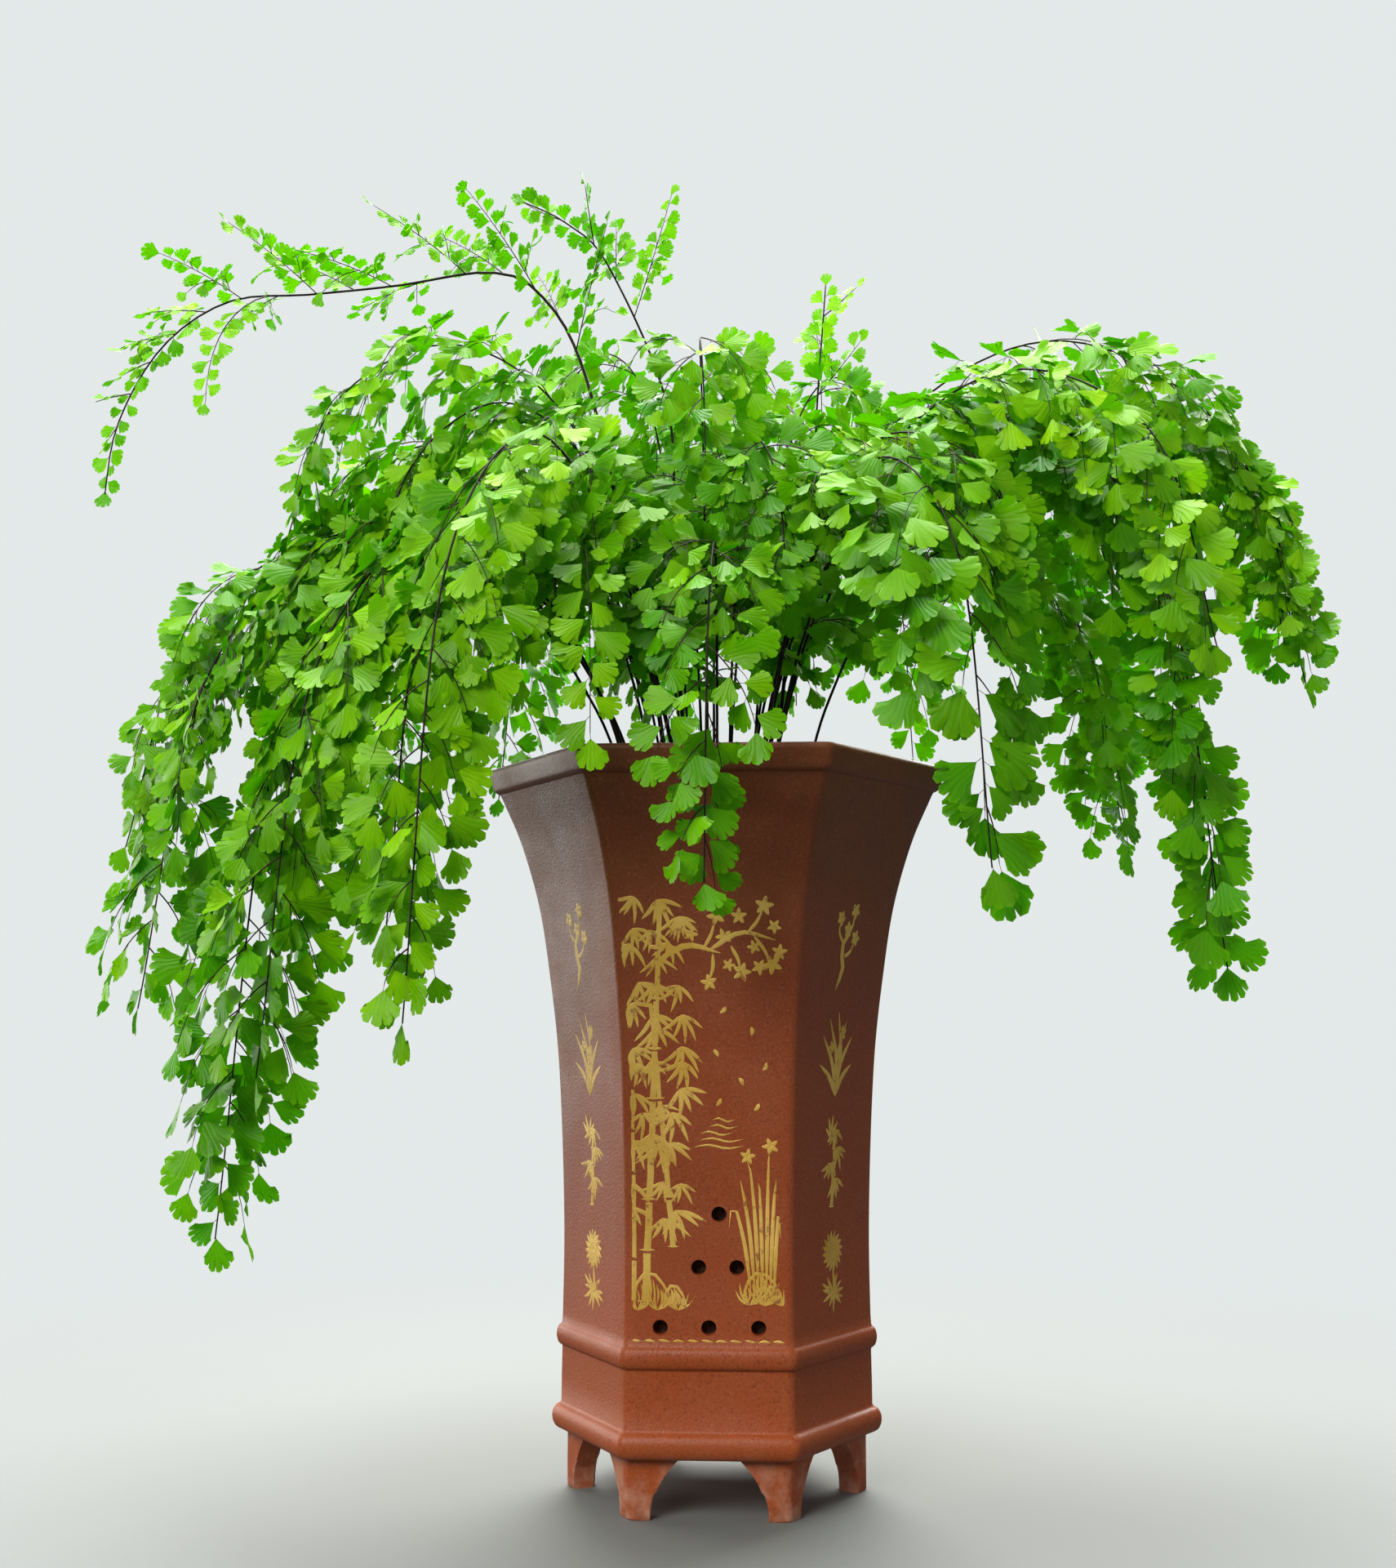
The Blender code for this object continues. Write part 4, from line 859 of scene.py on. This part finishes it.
def stalkPiece(stalk, twigs, row):
    # the stalk, its twigs and each leaflet's own fine stem, as closed tubes in one mesh
    foot = np.array([[*stalk["path"][0][:2], crown["soilTop"] - crown["rootDepth"]]])
    line = np.vstack([foot, alongPath(stalk["path"], np.linspace(0, 0.99, 60))[0]])
    small = stalk["name"] in loose
    thick = np.linspace(0.00105 if small else 0.00066, 0.00030 if small else 0.00028, 61)
    parts = [tubes(line[None], thick[None], 8)]
    lines = np.array([twig for twig, base, end in twigs])
    radii = np.array([np.linspace(base, end, lines.shape[1]) for twig, base, end in twigs])
    parts.append(tubes(lines, radii, 4))
    stems = np.stack([row["seat"], row["foot"] + row["axis"] * row["size"][:, None] * 0.06], axis=1)
    parts.append(tubes(stems, np.full((len(stems), 2), 0.00012), 3))
    points, faces, shift = [], [], 0
    for partPoints, partFaces in parts:
        points.append(partPoints)
        faces.append(partFaces + shift)
        shift += len(partPoints)
    piece = meshPiece(f"stalks_{stalk['name']}", np.vstack(points), np.vstack(faces), [stalkMaterial])
    fine = np.concatenate([np.full(len(part[0]), value) for part, value in zip(parts, (0.0, 0.5, 1.0))])
    pointValues(piece.data, "fineness", fine)
    return piece


def makeLeafMaterial():
    # thin green leaf: deep to yellow green by tint, veins fanning out from the foot, a paler rim,
    # and light that passes through
    material, tree, shader = newMaterial("fernLeaf", 0.38)
    tint = addNode(tree, "ShaderNodeAttribute", {"attribute_name": "tint"}).outputs["Fac"]
    shade = addNode(tree, "ShaderNodeAttribute", {"attribute_name": "shade"}).outputs["Fac"]
    fan = addNode(tree, "ShaderNodeUVMap", {"uv_map": "fan"}).outputs["UV"]
    parts = addNode(tree, "ShaderNodeSeparateXYZ", None, Vector=fan)
    place = objectPlace(tree)
    mottle = noise(tree, place, 160.0, 2.0)
    deep = mixColours(tree, shade, (0.042, 0.258, 0.000), (0.085, 0.435, 0.000))
    bright = mixColours(tree, shade, (0.300, 0.660, 0.000), (0.540, 0.860, 0.000))
    colour = mixColours(tree, tint, deep, bright)
    colour = mixColours(tree, mapRange(tree, mottle, 0.3, 0.75, 0.0, 0.30), colour, (0.130, 0.480, 0.000))
    rays = addNode(tree, "ShaderNodeMath", {"operation": "MULTIPLY"}, i0=parts.outputs["X"], i1=44.0).outputs[0]
    rays = addNode(tree, "ShaderNodeMath", {"operation": "SINE"}, i0=rays).outputs[0]
    veins = mapRange(tree, rays, 0.55, 1.0, 0.0, 0.28)
    colour = mixColours(tree, veins, colour, (0.300, 0.640, 0.004))
    rim = mapRange(tree, parts.outputs["Y"], 0.88, 1.0, 0.0, 0.30)
    colour = mixColours(tree, rim, colour, (0.320, 0.620, 0.004))
    tree.links.new(colour, shader.inputs["Base Color"])
    bump = addNode(tree, "ShaderNodeBump", None, Strength=0.25, Distance=0.0002, Height=rays)
    tree.links.new(bump.outputs["Normal"], shader.inputs["Normal"])
    shader.inputs["Specular IOR Level"].default_value = 0.30
    through = addNode(tree, "ShaderNodeBsdfTranslucent")
    glow = mixColours(tree, 0.50, colour, (0.38, 0.86, 0.000))
    tree.links.new(glow, through.inputs["Color"])
    both = tree.nodes.new("ShaderNodeMixShader")
    both.inputs[0].default_value = 0.46
    tree.links.new(shader.outputs[0], both.inputs[1])
    tree.links.new(through.outputs[0], both.inputs[2])
    tree.links.new(both.outputs[0], tree.nodes["Material Output"].inputs["Surface"])
    return material


def makeStalkMaterial():
    # polished near-black stalks, browner along their length, and greenish-purple fine stems
    material, tree, shader = newMaterial("fernStalk", 0.50)
    shader.inputs["Specular IOR Level"].default_value = 0.18
    fine = addNode(tree, "ShaderNodeAttribute", {"attribute_name": "fineness"}).outputs["Fac"]
    streaks = noise(tree, objectPlace(tree), 140.0, 3.0)
    dark = mixColours(tree, mapRange(tree, streaks, 0.35, 0.7), (0.008, 0.005, 0.005), (0.034, 0.016, 0.012))
    tree.links.new(mixColours(tree, fine, dark, (0.055, 0.045, 0.022)), shader.inputs["Base Color"])
    bump = addNode(tree, "ShaderNodeBump", None, Strength=0.2, Distance=0.0002, Height=streaks)
    tree.links.new(bump.outputs["Normal"], shader.inputs["Normal"])
    return material


leafMaterial = makeLeafMaterial()
stalkMaterial = makeStalkMaterial()
stalks = planStalks()
leafCount = 0
for number, stalk in enumerate(stalks):
    draw = np.random.default_rng(100 + number)
    twigs, rows = growFrond(stalk, draw)
    leaves, row = leafPiece(f"leaflets_{stalk['name']}", rows, stalk["tint"], draw)
    settle(leaves, "foliage", f"frond_{stalk['name']}")
    settle(stalkPiece(stalk, twigs, row), "stalks", f"frond_{stalk['name']}")
    leafCount += len(row["size"])
print("fronds grown:", len(stalks), "with", leafCount, "leaflets")


# Soil: coarse bark, heaped a little round the crown

soil = {"top": 0.277, "bottom": 0.0333, "rings": 34, "spokes": 96, "rough": 0.0011, "heap": 0.0022,
        "gap": 0.0005, "chips": 260, "chipSize": (0.0016, 0.0052)}
soil["edge"] = skin(soil["top"]) - planter["wall"] - soil["gap"]


def soilBody():
    # a disc of rings stretched to the hexagon, its height a sum of waves of unlike directions, with
    # walls that follow the planter's inside down to its floor and a pole at each end
    ring = np.linspace(0, 1, soil["rings"])[1:, None]
    turn = np.linspace(0, 2 * np.pi, soil["spokes"], endpoint=False)[None, :]
    corner = 1 / np.cos((turn % (np.pi / 3)) - np.pi / 6)
    reach = soil["edge"] * corner
    x, y = reach * ring * np.cos(turn), reach * ring * np.sin(turn)
    z = np.zeros_like(x)
    draw = np.random.default_rng(5)
    for wave in range(26):
        way = draw.uniform(0, 2 * np.pi)
        tight = 180 * 1.12 ** wave
        z += np.sin((x * math.cos(way) + y * math.sin(way)) * tight + draw.uniform(0, 6.3)) / (1 + 0.12 * wave)
    z = soil["top"] + soil["rough"] * z * 0.28 * (1 - ring ** 8) + soil["heap"] * (1 - ring ** 2) - 0.0006
    down = np.linspace(soil["top"] - 0.006, soil["bottom"], 16)[:, None]
    inside = (skin(np.maximum(down, 0.067)) - planter["wall"] - soil["gap"]) * corner
    x = np.vstack([x, inside * np.cos(turn)])
    y = np.vstack([y, inside * np.sin(turn)])
    z = np.vstack([z, np.repeat(down, soil["spokes"], axis=1)])
    points = np.vstack([np.stack([x, y, z], -1).reshape(-1, 3),
                        [[0, 0, soil["top"] + soil["heap"]], [0, 0, soil["bottom"]]]])
    spokes = soil["spokes"]
    rows = len(z)
    faces = gridFaces(rows, spokes)[:, [0, 3, 2, 1]]
    spoke = np.arange(spokes)
    after = (spoke + 1) % spokes
    lid = np.stack([spoke, after, np.full(spokes, rows * spokes)], -1)
    under = np.stack([after + (rows - 1) * spokes, spoke + (rows - 1) * spokes,
                      np.full(spokes, rows * spokes + 1)], -1)
    return points, faces.tolist() + lid.tolist() + under.tolist()


def barkChips():
    # small blocks with uneven corners, lying at random turns on the soil
    draw = np.random.default_rng(9)
    count = soil["chips"]
    box = np.array([[x, y, z] for x in (-1, 1) for y in (-1, 1) for z in (-1, 1)], float)
    size = draw.uniform(*soil["chipSize"], (count, 1, 3)) * np.array([0.6, 0.42, 0.22])
    corners = box[None] * size * draw.uniform(0.6, 1.15, (count, 8, 3))
    turn = draw.uniform(0, 2 * np.pi, count)
    lean = draw.uniform(-0.5, 0.5, count)
    x, z = (corners[..., 0] * np.cos(lean)[:, None] - corners[..., 2] * np.sin(lean)[:, None],
            corners[..., 0] * np.sin(lean)[:, None] + corners[..., 2] * np.cos(lean)[:, None])
    away = np.sqrt(draw.random(count)) * (soil["edge"] - 0.004)
    at = draw.uniform(0, 2 * np.pi, count)
    px = x * np.cos(turn)[:, None] - corners[..., 1] * np.sin(turn)[:, None] + (away * np.cos(at))[:, None]
    py = x * np.sin(turn)[:, None] + corners[..., 1] * np.cos(turn)[:, None] + (away * np.sin(at))[:, None]
    heap = soil["heap"] * (1 - (away / soil["edge"]) ** 2)
    pz = z + soil["top"] + heap[:, None] - 0.0003
    points = np.stack([px, py, pz], -1).reshape(-1, 3)
    faces = np.array([(0, 1, 3, 2), (4, 6, 7, 5), (0, 4, 5, 1), (2, 3, 7, 6), (0, 2, 6, 4), (1, 5, 7, 3)])
    return points, (faces[None] + (np.arange(count) * 8)[:, None, None]).reshape(-1, 4)


def makeSoilMaterial(name, dark, pale):
    material, tree, shader = newMaterial(name, 0.92)
    place = objectPlace(tree)
    crumbs = noise(tree, place, 420.0, 4.0, 0.7)
    fibres = noise(tree, place, 90.0, 3.0)
    colour = mixColours(tree, mapRange(tree, crumbs, 0.3, 0.72), dark, pale)
    colour = mixColours(tree, mapRange(tree, fibres, 0.5, 0.8, 0.0, 0.6), colour, (0.016, 0.010, 0.007))
    tree.links.new(colour, shader.inputs["Base Color"])
    bump = addNode(tree, "ShaderNodeBump", None, Strength=0.8, Distance=0.0012, Height=crumbs)
    tree.links.new(bump.outputs["Normal"], shader.inputs["Normal"])
    return material


bark = makeSoilMaterial("pottingBark", (0.030, 0.017, 0.010), (0.110, 0.062, 0.034))
chipBark = makeSoilMaterial("barkChip", (0.060, 0.030, 0.016), (0.210, 0.115, 0.058))
ground = meshPiece("soil_bed", *soilBody(), [bark])
settle(ground, "soil", "soil")
chips = meshPiece("soil_chips", *barkChips(), [chipBark], smooth=False)
settle(chips, "soil")
print("soil filled")


# Gilding: brush strokes on the faces, each (across, height) on the face, in millimetres

gilding = {"lift": 0.00016, "sunk": 0.00014, "samples": 8, "pictureFaces": (270, 30, 150),
           "columnFaces": (210, 330, 90), "columnHeights": (220, 177, 134, 92), "columnScale": 1.10,
           "columnBold": 1.55}


def stroke(points, width, press=0.5):
    # a brush stroke: a smooth line whose width swells from its start and thins to a point, fullest
    # where the brush is pressed
    path = smoothPath(np.array(points, float), gilding["samples"])
    share = np.linspace(0, 1, gilding["samples"])
    bulge = np.where(share < press, share / press, (1 - share) / (1 - press))
    return path, width * (0.12 + 0.88 * np.sin(bulge * np.pi / 2) ** 0.8)


def spear(at, angle, length, width, bend=0.1):
    # a pointed leaf stroke from a point, at an angle from straight right, bent to one side
    turn = math.radians(angle)
    way = np.array([math.cos(turn), math.sin(turn)])
    side = np.array([-way[1], way[0]])
    at = np.array(at, float)
    return stroke([at, at + way * length * 0.5 + side * length * bend, at + way * length], width, 0.4)


def blossom(at, size, turn=0.0):
    # five round petals about a middle, each a short wide stroke, and a dot between them
    petals = [spear(np.array(at) + 0.12 * size, turn + 72 * k, size, size * 0.62, 0.0) for k in range(5)]
    return petals + [stroke([(at[0], at[1] - size * 0.15), (at[0], at[1] + size * 0.15)], size * 0.3)]


def cane(foot, top, width, joints):
    # a jointed cane: straight runs with gaps between, each a stroke of nearly even width
    foot, top = np.array(foot, float), np.array(top, float)
    runs = []
    for k in range(joints):
        a = foot + (top - foot) * (k + 0.04) / joints
        b = foot + (top - foot) * (k + 0.96) / joints
        runs.append((smoothPath([a, (a + b) / 2 + (0.25, 0.0), b], gilding["samples"]),
                     np.full(gilding["samples"], width * (1 - 0.35 * k / joints))))
        runs.append(stroke([a + (-width * 0.9, -0.3), a + (width * 0.9, -0.3)], width * 0.35))
    return runs


def leafCluster(at, size, lean, draw):
    return [spear(at, lean + turn + draw.uniform(-8, 8), size * draw.uniform(0.7, 1.1), size * 0.17, 0.06)
            for turn in (-52, -24, 2, 30, 58)]


def grassTuft(at, size, draw):
    return [spear(at, 90 + turn, size * draw.uniform(0.6, 1.1), size * 0.10, 0.12 * np.sign(turn + 0.1))
            for turn in (-50, -32, -14, 6, 24, 44)]


def rockShape(at, width, height, draw):
    # an uneven outline with slanting hatches inside
    x, y = at
    outline = [(x - width / 2, y), (x - width * 0.42, y + height * 0.6), (x - width * 0.1, y + height),
               (x + width * 0.2, y + height * 0.72), (x + width * 0.38, y + height * 0.4), (x + width / 2, y)]
    marks = [stroke(outline, 1.6, 0.4)]
    for k in range(9):
        top = np.interp(k, (0, 3, 5, 8), (0.5, 0.95, 0.65, 0.25)) * height
        left = x - width * 0.38 + width * 0.095 * k
        marks.append(stroke([(left, y + top), (left + 0.8, y + top * 0.55), (left + 0.3, y + top * 0.15)],
                            draw.uniform(0.8, 1.5)))
    return marks


def ripples(middle, height, reach, rows, draw):
    # short wavy strokes one over the other, shorter towards the top
    marks = []
    for k in range(rows):
        wide = reach * (1 - 0.13 * k) * draw.uniform(0.8, 1.1)
        x, y = middle + draw.uniform(-2, 2), height + 2.6 * k
        marks.append(stroke([(x - wide, y), (x - wide * 0.4, y + 0.9), (x + wide * 0.3, y - 0.5), (x + wide, y + 0.5)],
                            draw.uniform(0.8, 1.2)))
    return marks


def picture(draw):
    # canes with leaf clusters on the left, a blossoming branch from the upper left, petals falling to
    # ripples, a rock with grass on the right and one at the canes' foot. The holes stay clear
    marks = cane((-25, 83), (-19, 240), 3.4, 8) + cane((-14, 104), (-23, 200), 2.6, 5)
    marks += cane((-30, 83), (-30, 166), 2.0, 5)
    for height in (238, 229, 219, 208, 197, 186, 174, 163, 152, 141, 130, 119):
        for across in (-29, -21, -13):
            at = (across + draw.uniform(-3, 3), height + draw.uniform(-5, 5))
            marks += leafCluster(at, draw.uniform(9, 13), draw.choice((-70, -110, -90)), draw)
    marks.append(stroke([(-20, 216), (-8, 222), (5, 219)], 3.0, 0.3))
    marks.append(stroke([(0, 219.6), (13, 227), (27, 224)], 2.4, 0.25))
    for a, b in (((-2, 220), (3, 233)), ((9, 222), (13, 211)), ((16, 227), (22, 237)), ((2, 219), (0, 207)),
                 ((18, 226), (25, 214))):
        marks.append(stroke([a, ((a[0] + b[0]) / 2 + 1, (a[1] + b[1]) / 2), b], 1.7, 0.3))
        marks += blossom(b, draw.uniform(3.2, 4.2), draw.uniform(0, 72))
    for at in ((-7, 226), (6, 225), (18, 221), (26, 229), (12, 233), (20, 213), (8, 214), (28, 219)):
        marks += blossom(at, draw.uniform(2.6, 3.6), draw.uniform(0, 72))
    for across, height in ((7, 198), (17, 190), (2, 181), (23, 176), (12, 170), (20, 160), (5, 162)):
        marks.append(spear((across, height), draw.uniform(200, 320), 3.4, 1.9))
    marks += ripples(5, 143, 10, 5, draw)
    for k, (across, height, crest) in enumerate(((8, 112, 121), (11, 124, 130), (15, 138, 138), (19.5, 129, 130),
                                                 (24, 142, 142), (27, 124, 131), (28, 108, 118))):
        foot = 16.6 + 1.5 * k
        marks.append(stroke([(foot, 87), (foot + 0.3 * (across - foot), 0.45 * 87 + 0.55 * crest),
                             (foot + 0.8 * (across - foot), crest), (across, height)], 1.8, 0.35))
    marks += blossom((15, 139), 3.2, 10) + blossom((24, 143), 3.4, 40)
    marks += rockShape((21.5, 83), 16, 12, draw) + rockShape((25.5, 82), 7, 8, draw)
    marks += rockShape((-22, 81), 16, 14, draw) + rockShape((-13, 81), 9, 9, draw)
    for across, height in ((16, 82), (22, 82), (28, 82), (-28, 80), (-20, 80), (-12, 80)):
        marks += grassTuft((across, height), draw.uniform(8, 12), draw)
    for k in range(11):
        left = -31 + 5.6 * k
        marks.append(stroke([(left, 68.0 + 0.4 * (k % 3)), (left + 2.0, 68.6), (left + 4.6, 68.1)], 1.1))
    return marks


def columnMark(kind, draw):
    # one of four plant marks within about 16 by 32 mm, its foot at the origin's level
    if kind == 0:
        marks = [stroke([(-5, -14), (-1, -6), (-3, 2), (3, 9), (4, 15)], 2.2, 0.3),
                 stroke([(-2, -2), (3, 0), (6, 4)], 1.3, 0.3), stroke([(-2, 3), (-6, 7), (-6, 11)], 1.2, 0.3)]
        for at in ((6, 5), (-6, 12), (4, 15), (0, 8)):
            marks += blossom(at, 3.1, draw.uniform(0, 72))
        return marks
    if kind == 1:
        marks = []
        for turn, size in ((116, 25), (103, 29), (91, 31), (78, 28), (64, 24), (136, 17), (46, 16)):
            marks.append(spear((0, -14), turn, size, 1.9, -0.10 if turn > 90 else 0.10))
        return marks + blossom((3, 9), 2.8, 20) + blossom((-4, 4), 2.4, 50)
    if kind == 2:
        marks = cane((-1, -15), (1, 13), 1.9, 4)
        for at, lean in (((0, 13), -90), ((2, 6), -70), ((-2, 1), -112), ((1, -5), -80), ((-1, 10), 80)):
            marks += leafCluster(at, 8.5, lean, draw)
        return marks
    marks = [stroke([(0, -15), (1, -6), (0, 2)], 1.8, 0.4)]
    for k in range(16):
        marks.append(spear((0, 7), 22.5 * k + 6, 7.4, 2.0, 0.08))
    for k in range(9):
        marks.append(spear((0, 7), 40 * k, 4.0, 1.6, 0.05))
    return marks + leafCluster((0, -7), 8.0, 180, draw) + leafCluster((1, -9), 8.0, 10, draw)


def strokesOnFace(face, marks):
    # each stroke as a closed sliver: at every sample two edges sunk in the clay, a crest above it
    # and a keel below, on the flared face, whose distance from the axis depends on height alone
    turn = math.radians(face)
    normal = np.array([math.cos(turn), math.sin(turn), 0.0])
    side = np.array([-math.sin(turn), math.cos(turn), 0.0])
    paths = np.array([mark[0] for mark in marks]) * 0.001
    widths = np.array([mark[1] for mark in marks]) * 0.001
    limit = skin(paths[..., 1]) * math.tan(math.pi / 6) - planter["corner"] * 0.75
    paths[..., 0] = np.clip(paths[..., 0], -limit, limit)
    ahead = unit(np.gradient(paths, axis=1))
    square = np.stack([-ahead[..., 1], ahead[..., 0]], -1) * widths[..., None] / 2

    def place(flat, lift):
        out = normal * (skin(flat[..., 1]) + lift)[..., None]
        return out + side * flat[..., :1] + upward * flat[..., 1:]

    ring = np.stack([place(paths - square, -0.00003), place(paths, gilding["lift"]),
                     place(paths + square, -0.00003), place(paths, -gilding["sunk"])], axis=2)
    count, samples = widths.shape
    points = ring.reshape(count, -1, 3)
    quads = gridFaces(samples, 4)
    caps = np.array([[3, 2, 1, 0], [4 * samples - 4, 4 * samples - 3, 4 * samples - 2, 4 * samples - 1]])
    faces = np.concatenate([quads, caps])
    shift = (np.arange(count) * points.shape[1])[:, None, None]
    return points.reshape(-1, 3), (faces[None] + shift).reshape(-1, 4)


def makeGoldMaterial():
    # old gold paint, rubbed through to the clay in small patches
    material, tree, shader = newMaterial("wornGold", 0.48, 0.15)
    place = objectPlace(tree)
    grain = useGrain(tree, place, 1100.0, 0.3)
    wear = noise(tree, place, 260.0, 4.0, 0.65)
    colour = mixColours(tree, mapRange(tree, grain.outputs["Mottle"], 0.3, 0.7), (0.70, 0.41, 0.055),
                        (0.93, 0.61, 0.135))
    colour = mixColours(tree, mapRange(tree, wear, 0.56, 0.68, 0.0, 0.80), colour, (0.33, 0.10, 0.035))
    tree.links.new(colour, shader.inputs["Base Color"])
    tree.links.new(grain.outputs["Normal"], shader.inputs["Normal"])
    return material


gold = makeGoldMaterial()
for face in gilding["pictureFaces"]:
    marks = picture(np.random.default_rng(face))
    settle(meshPiece(f"gilding_{face}", *strokesOnFace(face, marks), [gold], sharpAngle=50), "gilding")
for face in gilding["columnFaces"]:
    draw = np.random.default_rng(face)
    marks = []
    for kind, height in enumerate(gilding["columnHeights"]):
        marks += [(path * gilding["columnScale"] + (0.0, height), width * gilding["columnBold"])
                  for path, width in columnMark(kind, draw)]
    settle(meshPiece(f"gilding_{face}", *strokesOnFace(face, marks), [gold], sharpAngle=50), "gilding")
print("gilding painted")


# Stage: a pale floor that melts into a pale surround

stage = {"radius": 2.4, "wall": 3.4, "height": 4.0, "colour": (0.185, 0.195, 0.194), "glow": (0.775, 0.815, 0.81),
         "near": 0.05, "far": 0.72}


def stageMaterial():
    # matt and lit near the planter, even and pale further out
    material, tree, shader = newMaterial("paleStage", 0.7)
    shader.inputs["Base Color"].default_value = (*stage["colour"], 1.0)
    place = objectPlace(tree)
    away = addNode(tree, "ShaderNodeVectorMath", {"operation": "LENGTH"}, i0=place).outputs["Value"]
    even = addNode(tree, "ShaderNodeEmission", None, Color=(*stage["glow"], 1.0), Strength=1.0)
    both = tree.nodes.new("ShaderNodeMixShader")
    tree.links.new(mapRange(tree, away, stage["near"], stage["far"]), both.inputs[0])
    tree.links.new(shader.outputs[0], both.inputs[1])
    tree.links.new(even.outputs[0], both.inputs[2])
    tree.links.new(both.outputs[0], tree.nodes["Material Output"].inputs["Surface"])
    return material


def turnedRings(profile, spokes):
    # rings of points about the axis at each (radius, height) of a profile
    turn = np.linspace(0, 2 * np.pi, spokes, endpoint=False)
    profile = np.array(profile, float)
    x = profile[:, :1] * np.cos(turn)
    y = profile[:, :1] * np.sin(turn)
    points = np.stack([x, y, np.repeat(profile[:, 1:], spokes, axis=1)], -1).reshape(-1, 3)
    return points, gridFaces(len(profile), spokes)


stageLook = stageMaterial()
bend = np.linspace(0, np.pi / 2, 12)
step = stage["wall"] - stage["radius"]
floorPoints, floorFaces = turnedRings([(0.001, 0.0), (0.3, 0.0), (1.0, 0.0), (stage["radius"], 0.0)], 96)
middle = [list(range(96))[::-1]]  # closes the ring at the centre
floor = meshPiece("floor", floorPoints, floorFaces.tolist() + middle, [stageLook])
sweep = [(stage["radius"] + step * math.sin(a), step * (1 - math.cos(a))) for a in bend]
surround = meshPiece("surround", *turnedRings(sweep + [(stage["wall"], stage["height"])], 96), [stageLook])
for backdrop in (floor, surround):
    backdrop.visible_diffuse = False
    backdrop.visible_glossy = False
surround.visible_shadow = False
print("stage set")
